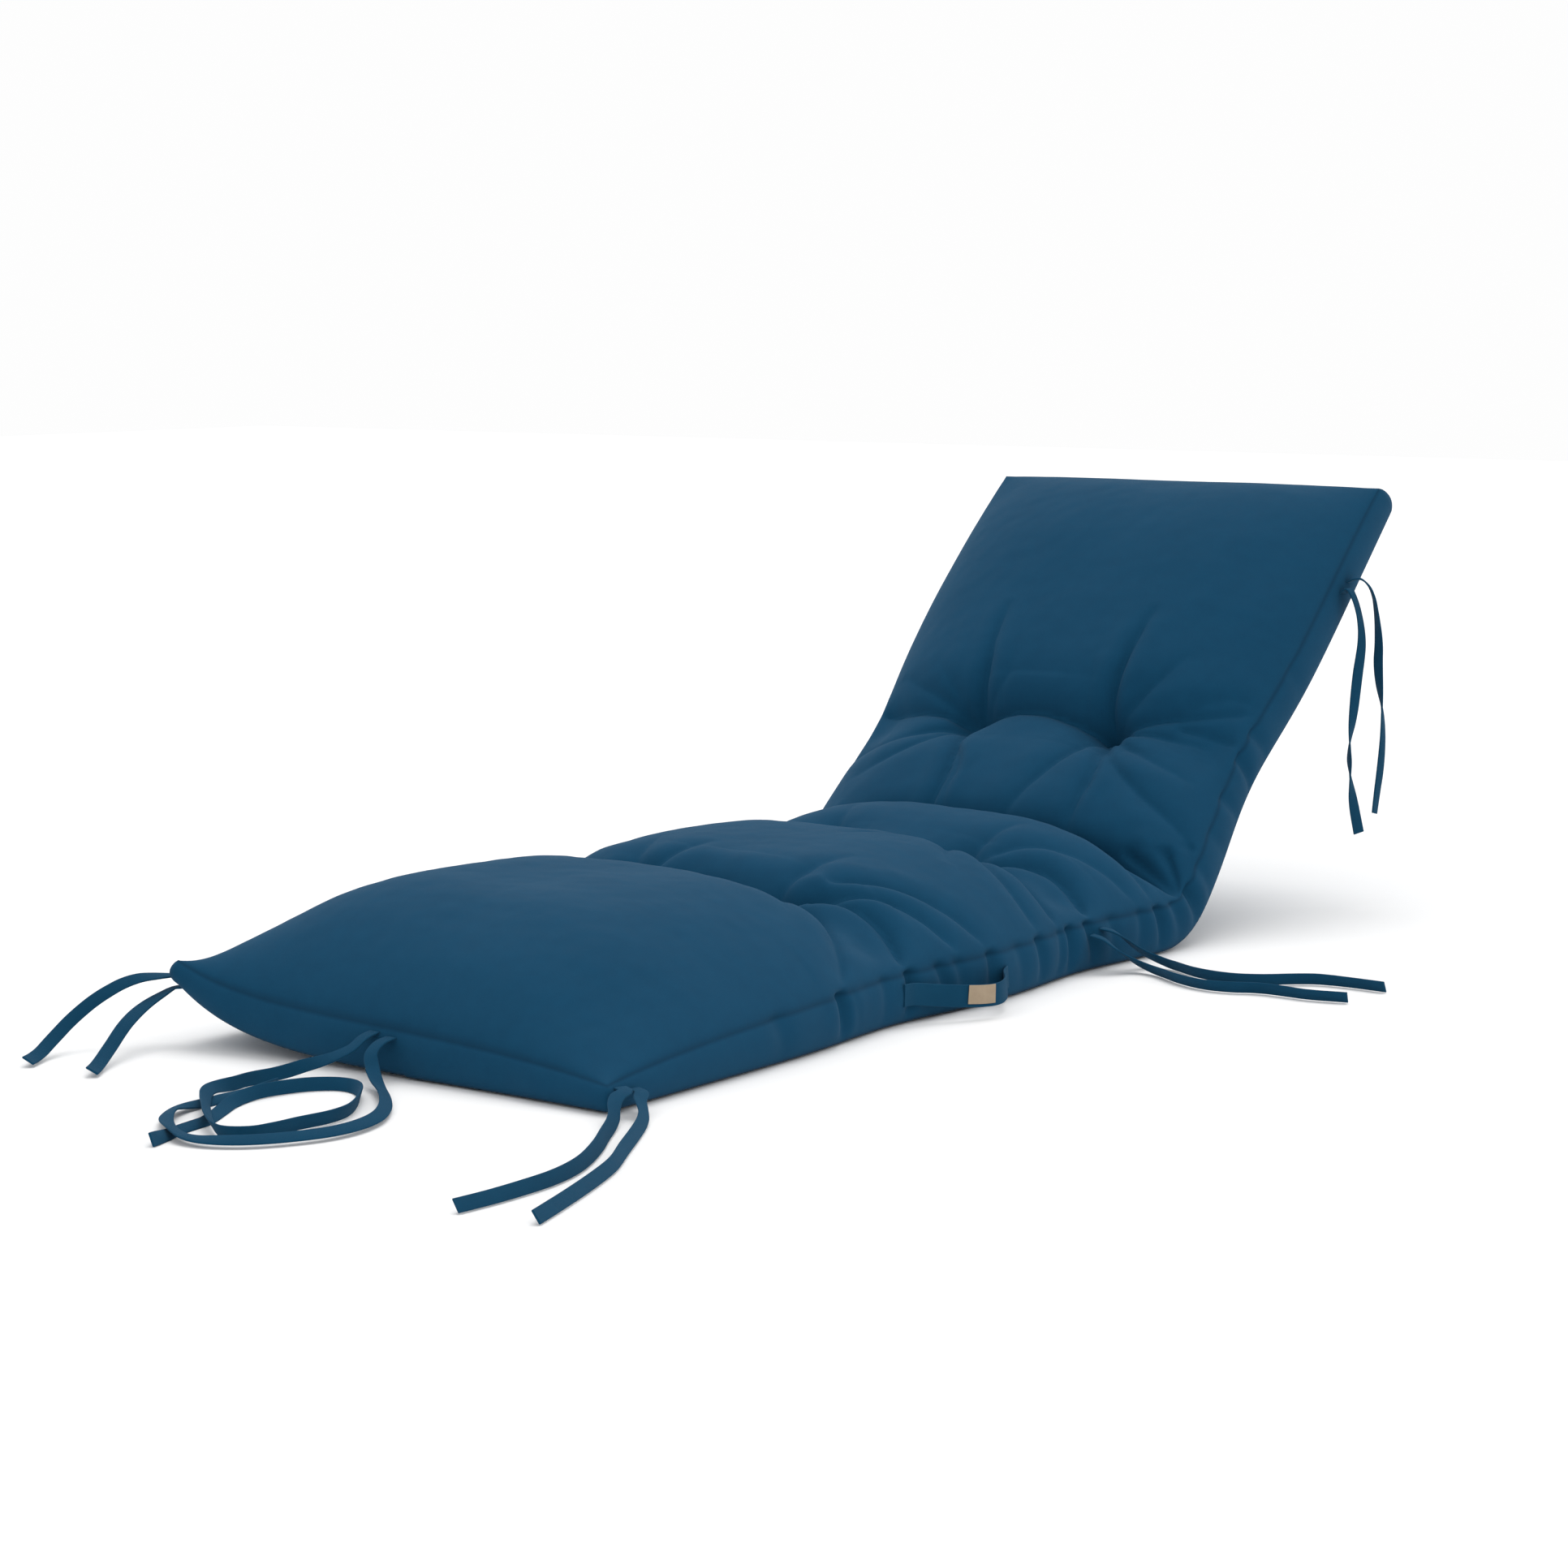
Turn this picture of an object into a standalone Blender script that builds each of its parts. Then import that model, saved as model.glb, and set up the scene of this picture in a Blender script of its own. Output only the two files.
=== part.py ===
"""Tufted sun lounger cushion: a filled seat and back in one piece, its ties, carry handle and plain tag.

Axes: X runs across, with the handle on the +X side, Y runs from the foot end to the head end, Z is up.
The origin is the middle of the seat's underside, on the surface that the cushion lies on.
Heights are measured from that underside and lengths from the foot end, along the cushion.
"""
import math

import bmesh
import bpy
from mathutils import Vector

# Driving dimensions, in metres and radians
WIDTH = 0.600
SEAT_LENGTH = 1.170
BACK_LENGTH = 0.730
BACK_ANGLE = math.radians(43.7)
BEND_LENGTH = 0.100
NEUTRAL_HEIGHT = 0.058
CLEARANCE = 0.0003

LENGTH = SEAT_LENGTH + BACK_LENGTH
HALF_WIDTH = WIDTH / 2
ORIGIN_ALONG = SEAT_LENGTH / 2

# Boxing: the strip that joins the front panel to the rear panel
BOXING_HEIGHT = 0.058
BOXING_LOW = 0.003
BOXING_BULGE = 0.006
LEFT_RISE = 0.014
LEFT_RISE_REACH = 0.220

# Crown of the front panel above its seam: along, height
CROWN = (
    (0.00, 0.120),
    (0.30, 0.122),
    (0.54, 0.116),
    (0.75, 0.114),
    (0.96, 0.108),
    (1.08, 0.110),
    (1.17, 0.100),
    (1.29, 0.086),
    (1.41, 0.086),
    (1.65, 0.088),
    (1.90, 0.084),
)
CROWN_POWER = 2.6
CROWN_ROUND = 0.75
SIDE_REACH = 0.270
END_REACH = 0.240
FOLD_REACH_SEAT = 0.095
FOLD_REACH_BACK = 0.120
REAR_CROWN = 0.034

# Tufts: rows along the cushion, two tufts in each
TUFT_ROWS = (0.540, 0.955, 1.405)
TUFT_ACROSS = 0.103
TUFT_DEPTH = 0.044
TUFT_RADIUS = 0.040
ROW_DEPTH = 0.024
ROW_WIDTH = 0.052
DRAW_IN = 0.016
DRAW_LENGTH = 0.130
END_DRAW_IN = 0.010

# Creases that run out of each tuft. Angle is from outward across towards the head, in degrees
# angle, length, depth, width
SEAT_CREASES = (
    (88.0, 0.110, 0.010, 0.016),
    (52.0, 0.160, 0.010, 0.016),
    (24.0, 0.190, 0.013, 0.015),
    (2.0, 0.195, 0.012, 0.015),
    (-20.0, 0.190, 0.014, 0.015),
    (-46.0, 0.150, 0.009, 0.016),
    (-92.0, 0.090, 0.007, 0.018),
    (180.0, 0.105, 0.012, 0.016),
)
BACK_CREASES = (
    (80.0, 0.150, 0.013, 0.014),
    (38.0, 0.150, 0.009, 0.015),
    (8.0, 0.195, 0.013, 0.014),
    (-22.0, 0.180, 0.011, 0.015),
    (-58.0, 0.160, 0.012, 0.016),
    (-108.0, 0.110, 0.012, 0.015),
    (180.0, 0.105, 0.017, 0.016),
)

# Foot corners as they lie: side, boxing pinched by, reach of the pinch, corner lifted by, reach of the lift
FOOT_CORNERS = (
    (-1.0, 0.028, 0.090, 0.066, 0.085),
    (1.0, 0.030, 0.220, 0.000, 0.100),
)
HEAD_PINCH = 0.006
HEAD_PINCH_REACH = 0.080

# Grid of the cushion's surface: where a stretch ends, and its number of divisions
ALONG_DIVISIONS = (
    (0.420, 14),
    (0.660, 14),
    (0.840, 6),
    (1.070, 13),
    (1.270, 11),
    (1.540, 16),
    (1.900, 12),
)
ACROSS_DIVISIONS = (
    (0.060, 2),
    (0.150, 5),
    (0.260, 4),
    (0.300, 2),
)
BOXING_DIVISIONS = 2

# Ties: flat folded tape, each sewn in at a seam by its root
TAPE_WIDTH = 0.0150
TAPE_THICKNESS = 0.0024
TAPE_STEP = 0.018
TAPE_STUB = 0.010

# Root of each tape on the boxing: share across, along, level up the boxing, heading outwards, gap
ROOTS = {
    "tie_foot_left_a": (-1.0, 0.014, 0.50, 180.0, 0.0028),
    "tie_foot_left_b": (-1.0, 0.014, 0.15, 180.0, 0.0006),
    "tie_foot_middle_a": (-0.06, 0.000, 0.85, 270.0, 0.0004),
    "tie_foot_middle_b": (0.02, 0.000, 0.80, 270.0, 0.0002),
    "tie_foot_right_a": (1.0, 0.014, 0.80, 0.0, 0.0022),
    "tie_foot_right_b": (1.0, 0.034, 0.60, 0.0, 0.0020),
    "tie_seat_right_a": (1.0, 0.990, 0.85, 0.0, 0.0018),
    "tie_seat_right_b": (1.0, 0.968, 0.75, 0.0, 0.0012),
    "tie_back_right_a": (1.0, 1.722, 0.60, 0.0, 0.0012),
    "tie_back_right_b": (1.0, 1.742, 0.60, 0.0, 0.0012),
}

# Route of each tape from its root to its free end: across, along the floor, height, lean in degrees
TIES = {
    "tie_foot_left_a": (
        (-0.3340, -0.0310, 0.0760, 60),
        (-0.3560, -0.0600, 0.0600, 40),
        (-0.3700, -0.0880, 0.0390, 30),
        (-0.3700, -0.1200, 0.0200, 30),
        (-0.3610, -0.1500, 0.0090, 35),
        (-0.3480, -0.1780, 0.0072, 35),
    ),
    "tie_foot_left_b": (
        (-0.3170, -0.0300, 0.0500, 60),
        (-0.3030, -0.0760, 0.0370, 40),
        (-0.2860, -0.1180, 0.0190, 30),
        (-0.2700, -0.1500, 0.0090, 35),
        (-0.2540, -0.1750, 0.0072, 35),
    ),
    "tie_foot_middle_a": (
        (-0.0230, -0.0260, 0.0340, 88),
        (-0.0430, -0.0420, 0.0230, 75),
        (-0.0660, -0.0540, 0.0150, 50),
        (-0.0810, -0.0720, 0.0090, 30),
        (-0.0880, -0.0980, 0.0072, 30),
        (-0.0880, -0.1300, 0.0072, 30),
        (-0.0840, -0.1620, 0.0100, 62),
        (-0.0690, -0.1920, 0.0125, 74),
        (-0.0450, -0.2200, 0.0115, 65),
        (-0.0160, -0.2480, 0.0120, 60),
        (0.0130, -0.2750, 0.0120, 60),
        (0.0440, -0.2980, 0.0090, 45),
        (0.0690, -0.3040, 0.0072, 30),
        (0.0860, -0.2930, 0.0072, 30),
        (0.0930, -0.2660, 0.0072, 30),
        (0.0960, -0.2310, 0.0072, 30),
        (0.1010, -0.1980, 0.0072, 30),
        (0.0960, -0.1620, 0.0072, 30),
        (0.0720, -0.1200, 0.0072, 30),
        (0.0380, -0.0800, 0.0072, 40),
        (0.0080, -0.0680, 0.0072, 45),
        (-0.0170, -0.0840, 0.0072, 40),
        (-0.0310, -0.1120, 0.0072, 35),
        (-0.0390, -0.1500, 0.0072, 35),
        (-0.0340, -0.1900, 0.0060, 60),
        (-0.0170, -0.2290, 0.0030, 82),
        (-0.0010, -0.2640, 0.0026, 84),
        (0.0030, -0.2920, 0.0026, 84),
        (0.0080, -0.3180, 0.0026, 84),
        (0.0180, -0.3430, 0.0045, 65),
        (0.0280, -0.3680, 0.0072, 38),
    ),
    "tie_foot_middle_b": (
        (0.0060, -0.0250, 0.0340, 85),
        (0.0230, -0.0410, 0.0170, 60),
        (0.0510, -0.0620, 0.0072, 35),
        (0.0850, -0.0930, 0.0072, 30),
        (0.1160, -0.1280, 0.0072, 30),
        (0.1390, -0.1660, 0.0072, 30),
        (0.1490, -0.2050, 0.0072, 30),
        (0.1470, -0.2420, 0.0072, 30),
        (0.1330, -0.2770, 0.0072, 30),
        (0.1110, -0.3100, 0.0072, 30),
        (0.0820, -0.3320, 0.0072, 35),
        (0.0480, -0.3390, 0.0076, 55),
        (0.0120, -0.3240, 0.0092, 76),
        (-0.0230, -0.2970, 0.0080, 60),
        (-0.0480, -0.2660, 0.0072, 40),
        (-0.0590, -0.2340, 0.0040, 68),
        (-0.0600, -0.2000, 0.0026, 84),
        (-0.0590, -0.1660, 0.0045, 65),
        (-0.0600, -0.1330, 0.0072, 38),
        (-0.0640, -0.1000, 0.0072, 35),
    ),
    "tie_foot_right_a": (
        (0.3230, -0.0160, 0.0220, 70),
        (0.3430, -0.0440, 0.0110, 45),
        (0.3680, -0.0880, 0.0072, 35),
        (0.4000, -0.1430, 0.0072, 35),
        (0.4290, -0.2040, 0.0072, 30),
        (0.4430, -0.2580, 0.0072, 30),
        (0.4460, -0.3100, 0.0072, 30),
        (0.4440, -0.3570, 0.0072, 35),
        (0.4400, -0.3970, 0.0072, 35),
    ),
    "tie_foot_right_b": (
        (0.3320, 0.0130, 0.0190, 70),
        (0.3590, -0.0160, 0.0100, 45),
        (0.3910, -0.0700, 0.0072, 35),
        (0.4240, -0.1310, 0.0072, 35),
        (0.4560, -0.1890, 0.0072, 30),
        (0.4800, -0.2490, 0.0072, 30),
        (0.5050, -0.3220, 0.0072, 30),
        (0.5250, -0.3870, 0.0072, 35),
    ),
    "tie_seat_right_a": (
        (0.3140, 1.0050, 0.0400, 75),
        (0.3270, 1.0280, 0.0210, 55),
        (0.3560, 1.0380, 0.0085, 40),
        (0.4150, 1.0060, 0.0072, 35),
        (0.4640, 0.9980, 0.0072, 35),
        (0.5000, 1.0080, 0.0072, 30),
        (0.5280, 1.0320, 0.0072, 30),
        (0.5540, 1.0500, 0.0072, 30),
        (0.5920, 1.0550, 0.0072, 35),
        (0.6430, 1.0520, 0.0072, 35),
    ),
    "tie_seat_right_b": (
        (0.3180, 0.9800, 0.0300, 75),
        (0.3380, 0.9970, 0.0130, 50),
        (0.3690, 0.9880, 0.0075, 40),
        (0.4140, 0.9590, 0.0072, 35),
        (0.4580, 0.9420, 0.0072, 35),
        (0.4950, 0.9450, 0.0072, 30),
        (0.5230, 0.9580, 0.0072, 30),
        (0.5540, 0.9590, 0.0072, 30),
        (0.5900, 0.9570, 0.0072, 35),
        (0.6370, 0.9670, 0.0072, 35),
    ),
    "tie_back_right_a": (
        (0.3190, 1.5800, 0.4330, 90),
        (0.3260, 1.5870, 0.4140, 90),
        (0.3260, 1.6020, 0.3840, 100),
        (0.3260, 1.6060, 0.3540, 120),
        (0.3260, 1.5960, 0.3140, 135),
        (0.3260, 1.5860, 0.2650, 120),
        (0.3260, 1.5780, 0.2310, 80),
        (0.3260, 1.5770, 0.2030, 50),
        (0.3260, 1.5820, 0.1740, 80),
        (0.3260, 1.5920, 0.1410, 125),
        (0.3260, 1.6090, 0.1000, 140),
    ),
    "tie_back_right_b": (
        (0.3260, 1.6050, 0.4450, 90),
        (0.3360, 1.6160, 0.4240, 90),
        (0.3380, 1.6260, 0.3920, 80),
        (0.3380, 1.6330, 0.3580, 60),
        (0.3380, 1.6330, 0.3270, 50),
        (0.3380, 1.6390, 0.2940, 70),
        (0.3380, 1.6480, 0.2620, 110),
        (0.3380, 1.6510, 0.2270, 130),
        (0.3380, 1.6460, 0.1860, 140),
        (0.3380, 1.6370, 0.1510, 135),
        (0.3380, 1.6310, 0.1250, 130),
    ),
}

# Carry handle: a webbing strap on the right boxing, bowed out for the hand
STRAP_WIDTH = 0.0260
STRAP_THICKNESS = 0.0024
STRAP_STEP = 0.009
STRAP_CENTRE = 0.650

# Route of the strap: out from the boxing, along from the strap's centre, height
STRAP_ROUTE = (
    (0.0020, -0.098, 0.036),
    (0.0030, -0.078, 0.035),
    (0.0120, -0.052, 0.031),
    (0.0270, -0.026, 0.028),
    (0.0400, 0.002, 0.026),
    (0.0420, 0.026, 0.026),
    (0.0300, 0.054, 0.027),
    (0.0120, 0.078, 0.029),
    (0.0020, 0.100, 0.030),
)

# Tag: a plain patch sewn on the outside of the strap, between two shares of the strap's length
TAG_WIDTH = 0.0220
TAG_THICKNESS = 0.0012
TAG_RAISED = 0.0020
TAG_SPAN = (0.380, 0.560)
TAG_GAP = 0.0008


def place(across, along, height):
    """Point of the part from its place across, along the floor from the foot end, and its height."""
    return Vector((across, along - ORIGIN_ALONG, height))


def smooth_step(value):
    """Ease from 0 to 1 while value goes from 0 to 1."""
    t = min(max(value, 0.0), 1.0)
    return t * t * (3.0 - 2.0 * t)


def bell(distance, width):
    """Bell curve: 1 at distance 0, fading over the width."""
    return math.exp(-(distance / width) ** 2)


def table_value(rows, position):
    """Value of a two-column table at a position, eased from row to row."""
    for (low, low_value), (high, high_value) in zip(rows, rows[1:]):
        if position <= high:
            share = smooth_step((position - low) / (high - low))
            return low_value + (high_value - low_value) * share
    return rows[-1][1]


def bend_angle(along):
    """Slope of the cushion at a length along it: level in the seat, BACK_ANGLE in the back."""
    return BACK_ANGLE * smooth_step((along - SEAT_LENGTH) / BEND_LENGTH + 0.5)


def spine_point(along, steps=60):
    """Point of the neutral line at a length along the cushion, summed through the bend."""
    start = SEAT_LENGTH - BEND_LENGTH / 2
    level = min(along, start)
    point = Vector((0.0, level, NEUTRAL_HEIGHT))
    bend = min(max(along - start, 0.0), BEND_LENGTH)
    for index in range(steps):
        angle = bend_angle(start + bend * (index + 0.5) / steps)
        point += Vector((0.0, math.cos(angle), math.sin(angle))) * (bend / steps)
    rest = max(along - start - BEND_LENGTH, 0.0)
    point += Vector((0.0, math.cos(BACK_ANGLE), math.sin(BACK_ANGLE))) * rest
    return point


def bent(across, along, height):
    """Point of the bent cushion from its place across, along and above its underside."""
    angle = bend_angle(along)
    normal = Vector((0.0, -math.sin(angle), math.cos(angle)))
    point = spine_point(along) + normal * (height - NEUTRAL_HEIGHT)
    return place(across, point.y, point.z)


def pillow(distance, reach):
    """Rise of filled cloth from its seam: 0 on the seam, 1 from the reach inwards."""
    t = min(max(distance / reach, 0.0), 1.0)
    return (1.0 - (1.0 - t) ** CROWN_POWER) ** CROWN_ROUND


def half_width(along):
    """Half of the width at the seams, drawn in beside each row of tufts."""
    drawn = sum(bell(along - row, DRAW_LENGTH) for row in TUFT_ROWS)
    return HALF_WIDTH - DRAW_IN * min(drawn, 1.0)


def corner_shape(side_share, along):
    """Pinch of the boxing and lift of the underside near the corners."""
    across = side_share * HALF_WIDTH
    pinch = 0.0
    lift = 0.0
    for side, pinched, pinch_reach, lifted, lift_reach in FOOT_CORNERS:
        distance = math.hypot(across - side * HALF_WIDTH, along)
        pinch += pinched * math.exp(-distance / pinch_reach)
        lift += lifted * math.exp(-distance / lift_reach)
    for side in (-1.0, 1.0):
        distance = math.hypot(across - side * HALF_WIDTH, LENGTH - along)
        pinch += HEAD_PINCH * math.exp(-distance / HEAD_PINCH_REACH)
    return pinch, lift


def crease_depth(across, along):
    """Depth of the creases and the dimple at a point, from all the tufts."""
    depth = 0.0
    for row in TUFT_ROWS:
        creases = BACK_CREASES if row > SEAT_LENGTH else SEAT_CREASES
        for side in (-1.0, 1.0):
            out = (across - side * TUFT_ACROSS) * side
            up = along - row
            radius = math.hypot(out, up)
            depth += TUFT_DEPTH * math.exp(-radius / TUFT_RADIUS)
            for angle, length, deep, width in creases:
                turn = math.radians(angle)
                run = out * math.cos(turn) + up * math.sin(turn)
                off = out * math.sin(turn) - up * math.cos(turn)
                if 0.0 < run < length:
                    fade = min(run / width, 1.0) * (1.0 - run / length) ** 0.6
                    depth += deep * fade * bell(off, width)
    return depth


def panel_rise(side_share, along):
    """Share of the full crown at a point: 0 on the seams, 1 in the middle of the panels."""
    side = pillow((1.0 - abs(side_share)) * HALF_WIDTH, SIDE_REACH)
    foot = pillow(along, END_REACH)
    head = pillow(LENGTH - along, END_REACH)
    return side * foot * head


def front_height(side_share, along):
    """Height of the front panel above the underside's plane."""
    pinch, lift = corner_shape(side_share, along)
    left = LEFT_RISE * max(-side_share, 0.0) * smooth_step(along / LEFT_RISE_REACH)
    left *= smooth_step((SEAT_LENGTH - along) / 0.20)
    seam = BOXING_LOW + BOXING_HEIGHT + left - pinch + lift
    fold_reach = FOLD_REACH_SEAT if along < SEAT_LENGTH else FOLD_REACH_BACK
    fold = pillow(abs(along - SEAT_LENGTH), fold_reach)
    rise = panel_rise(side_share, along)
    crown = table_value(CROWN, along) * rise * fold
    rows = sum(bell(along - row, ROW_WIDTH) for row in TUFT_ROWS) * ROW_DEPTH
    ease = smooth_step(rise * 2.0) * fold
    return seam + crown - (rows + crease_depth(side_share * half_width(along), along)) * ease


def rear_height(side_share, along):
    """Height of the rear panel: flat on the floor under the seat, crowned behind the back."""
    _, lift = corner_shape(side_share, along)
    edge = min((1.0 - abs(side_share)) * HALF_WIDTH, along, LENGTH - along)
    rim = BOXING_LOW * (1.0 - smooth_step(edge / 0.045))
    if lift < 0.0015:
        lift = 0.0
    flat = rim + lift * (1.0 - smooth_step(edge / 0.28))
    back = smooth_step((along - SEAT_LENGTH) / 0.16)
    across = side_share * half_width(along)
    rows = sum(bell(along - row, ROW_WIDTH) for row in TUFT_ROWS if row > SEAT_LENGTH)
    dimple = 0.0
    for side in (-1.0, 1.0):
        radius = math.hypot(across - side * TUFT_ACROSS, along - TUFT_ROWS[-1])
        dimple += 0.6 * REAR_CROWN * math.exp(-radius / TUFT_RADIUS)
    crown = REAR_CROWN * panel_rise(side_share, along)
    return flat - back * (crown - (0.35 * REAR_CROWN * rows + dimple) * panel_rise(side_share, along))


def cushion_point(side_share, along, level):
    """Point of the cushion's skin: level 0 is the rear panel, 1 the front panel, between is boxing."""
    low = rear_height(side_share, along)
    high = front_height(side_share, along)
    wall = 4.0 * level * (1.0 - level)
    across = side_share * (half_width(along) + BOXING_BULGE * wall * (abs(side_share) == 1.0))
    ends = END_DRAW_IN * (1.0 - side_share ** 2)
    reach = along
    if along < END_REACH:
        reach += (ends - BOXING_BULGE * wall * (along == 0.0)) * (1.0 - along / END_REACH)
    if along > LENGTH - END_REACH:
        reach -= (ends - BOXING_BULGE * wall * (along == LENGTH)) * (1.0 - (LENGTH - along) / END_REACH)
    return bent(across, reach, low + (high - low) * level)


def divided(stretches):
    """Lines of a grid, from 0 to the end of the last stretch: each stretch is divided evenly."""
    lines = []
    start = 0.0
    for end, divisions in stretches:
        lines += [start + (end - start) * step / divisions for step in range(1, divisions + 1)]
        start = end
    return lines[:-1]


def cut(mesh, point, normal):
    """Cut a loop of edges round the block where the plane crosses it."""
    geometry = mesh.verts[:] + mesh.edges[:] + mesh.faces[:]
    bmesh.ops.bisect_plane(mesh, geom=geometry, dist=1e-6, plane_co=point, plane_no=normal)


def make_material(name, colour, roughness):
    """Principled material with the part's colour and roughness."""
    material = bpy.data.materials.new(name)
    material.use_nodes = True
    shader = material.node_tree.nodes["Principled BSDF"]
    shader.inputs["Base Color"].default_value = (*colour, 1.0)
    shader.inputs["Roughness"].default_value = roughness
    shader.inputs["Metallic"].default_value = 0.0
    material.diffuse_color = (*colour, 1.0)
    return material


def add_object(name, data, material, collection):
    """Put an object with one material in the part's collection."""
    data.materials.append(material)
    part = bpy.data.objects.new(name, data)
    collection.objects.link(part)
    return part


def make_cushion(material, collection):
    """Filled cushion: a block of cloth faces shaped by its seams, crown, tufts, creases and bend."""
    mesh = bmesh.new()
    bmesh.ops.create_cube(mesh, size=2.0)
    for vertex in mesh.verts:
        vertex.co = Vector((vertex.co.x, (vertex.co.y + 1.0) * LENGTH / 2, (vertex.co.z + 1.0) / 2))
    cut(mesh, (0.0, 0.0, 0.0), (1.0, 0.0, 0.0))
    for line in divided(ACROSS_DIVISIONS):
        for side in (-1.0, 1.0):
            cut(mesh, (side * line / HALF_WIDTH, 0.0, 0.0), (1.0, 0.0, 0.0))
    for line in divided(ALONG_DIVISIONS):
        cut(mesh, (0.0, line, 0.0), (0.0, 1.0, 0.0))
    for step in range(1, BOXING_DIVISIONS):
        cut(mesh, (0.0, 0.0, step / BOXING_DIVISIONS), (0.0, 0.0, 1.0))
    for vertex in mesh.verts:
        side_share = max(-1.0, min(1.0, round(vertex.co.x, 6)))
        along = max(0.0, min(LENGTH, round(vertex.co.y, 6)))
        vertex.co = cushion_point(side_share, along, round(vertex.co.z, 6))
    flat = [vertex for vertex in mesh.verts if abs(vertex.co.z) < 1e-7]
    for vertex in flat:
        vertex.co.z = 0.0
    flat_edges = [edge for edge in mesh.edges if all(end.co.z == 0.0 for end in edge.verts)]
    bmesh.ops.dissolve_limit(mesh, angle_limit=math.radians(0.1), verts=flat, edges=flat_edges)
    bmesh.ops.recalc_face_normals(mesh, faces=mesh.faces)
    data = bpy.data.meshes.new("cushion")
    mesh.to_mesh(data)
    mesh.free()
    data.shade_smooth()
    return add_object("cushion", data, material, collection)


def smooth_route(rows, step):
    """Evenly spaced points of the smooth curve through a route's own points, each with its lean."""
    rows = [rows[0] * 2 - rows[1]] + rows + [rows[-1] * 2 - rows[-2]]
    fine = []
    for before, start, end, after in zip(rows, rows[1:], rows[2:], rows[3:]):
        for index in range(12):
            t = index / 12
            fine.append(0.5 * (2 * start + (end - before) * t
                               + (2 * before - 5 * start + 4 * end - after) * t ** 2
                               + (3 * start - before - 3 * end + after) * t ** 3))
    fine.append(rows[-2])
    lengths = [0.0]
    for low, high in zip(fine, fine[1:]):
        lengths.append(lengths[-1] + (high.xyz - low.xyz).length)
    count = max(2, round(lengths[-1] / step))
    route = []
    index = 0
    for number in range(count + 1):
        target = lengths[-1] * number / count
        while index < len(fine) - 2 and lengths[index + 1] < target:
            index += 1
        share = (target - lengths[index]) / (lengths[index + 1] - lengths[index])
        route.append(fine[index].lerp(fine[index + 1], share))
    return route


def laid(route):
    """Raise the points of a route whose tape would reach below the floor."""
    for row in route:
        half = (TAPE_WIDTH - TAPE_THICKNESS) / 2 * abs(math.cos(row.w)) + TAPE_THICKNESS / 2
        row.z = max(row.z, half + 5 * CLEARANCE)
    return route


def tie_rows(name):
    """Points of a tie with their lean: it leaves its root level and flat, then follows its route."""
    side_share, along, level, heading, gap = ROOTS[name]
    turn = math.radians(heading)
    outwards = Vector((math.cos(turn), math.sin(turn), 0.0))
    root = cushion_point(side_share, along, level) + outwards * gap
    rows = [Vector((*root, math.pi / 2)), Vector((*(root + outwards * TAPE_STUB), math.pi / 2))]
    for across, reach, height, lean in TIES[name]:
        rows.append(Vector((*place(across, reach, height), math.radians(lean))))
    return rows


def strap_rows():
    """Points of the carry handle's strap, out from the boxing at its place."""
    rows = []
    for out, reach, height in STRAP_ROUTE:
        along = STRAP_CENTRE + reach
        skin = cushion_point(1.0, along, height / (BOXING_LOW + BOXING_HEIGHT))
        rows.append(Vector((skin.x + out, skin.y, height, 0.0)))
    return rows


def tag_rows(strap):
    """Points of the tag: a stretch of the strap's line, moved outside it and raised a little."""
    first = round(TAG_SPAN[0] * (len(strap) - 1))
    last = round(TAG_SPAN[1] * (len(strap) - 1))
    offset = STRAP_THICKNESS / 2 + TAG_GAP + TAG_THICKNESS / 2
    rows = []
    for index in range(first, last + 1):
        heading = (strap[index + 1].xyz - strap[index - 1].xyz).normalized()
        outwards = Vector((heading.y, -heading.x, 0.0)).normalized()
        point = strap[index].xyz + outwards * offset + Vector((0.0, 0.0, TAG_RAISED))
        rows.append(Vector((*point, 0.0)))
    return rows


def make_tape(name, route, width, thickness, material, collection):
    """Flat tape along a route: its width stands upright where its lean is 0."""
    curve = bpy.data.curves.new(name, "CURVE")
    curve.dimensions = "3D"
    curve.twist_mode = "MINIMUM"
    curve.use_fill_caps = True
    curve.bevel_resolution = 0
    curve.bevel_depth = thickness / 2
    curve.extrude = (width - thickness) / 2
    spline = curve.splines.new("POLY")
    spline.points.add(len(route) - 1)
    for point, row in zip(spline.points, route):
        point.co = (row.x, row.y, row.z, 1.0)
        point.tilt = row.w
    return add_object(name, curve, material, collection)


def main():
    """Build the cushion, its ties, its handle and its tag."""
    for item in list(bpy.data.objects):
        bpy.data.objects.remove(item, do_unlink=True)
    collection = bpy.data.collections.new("sun_lounger_cushion")
    bpy.context.scene.collection.children.link(collection)
    cloth = make_material("cushion_cloth", (0.010, 0.062, 0.130), 0.85)
    tape = make_material("tie_tape", (0.009, 0.055, 0.120), 0.80)
    tan = make_material("tag_leather", (0.560, 0.380, 0.240), 0.70)
    make_cushion(cloth, collection)
    for name in TIES:
        route = laid(smooth_route(tie_rows(name), TAPE_STEP))
        make_tape(name, route, TAPE_WIDTH, TAPE_THICKNESS, tape, collection)
    strap = smooth_route(strap_rows(), STRAP_STEP)
    make_tape("carry_handle", strap, STRAP_WIDTH, STRAP_THICKNESS, tape, collection)
    make_tape("handle_tag", tag_rows(strap), TAG_WIDTH, TAG_THICKNESS, tan, collection)


main()
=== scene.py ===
"""Looks of the tufted sun lounger cushion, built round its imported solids.

Axes and origin are those of the part: X across, Y from the foot end to the head end, Z up.
"""

import logging
import math
from dataclasses import dataclass, field
from enum import Enum

import bmesh
import bpy
import numpy as np
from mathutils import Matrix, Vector, noise


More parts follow.
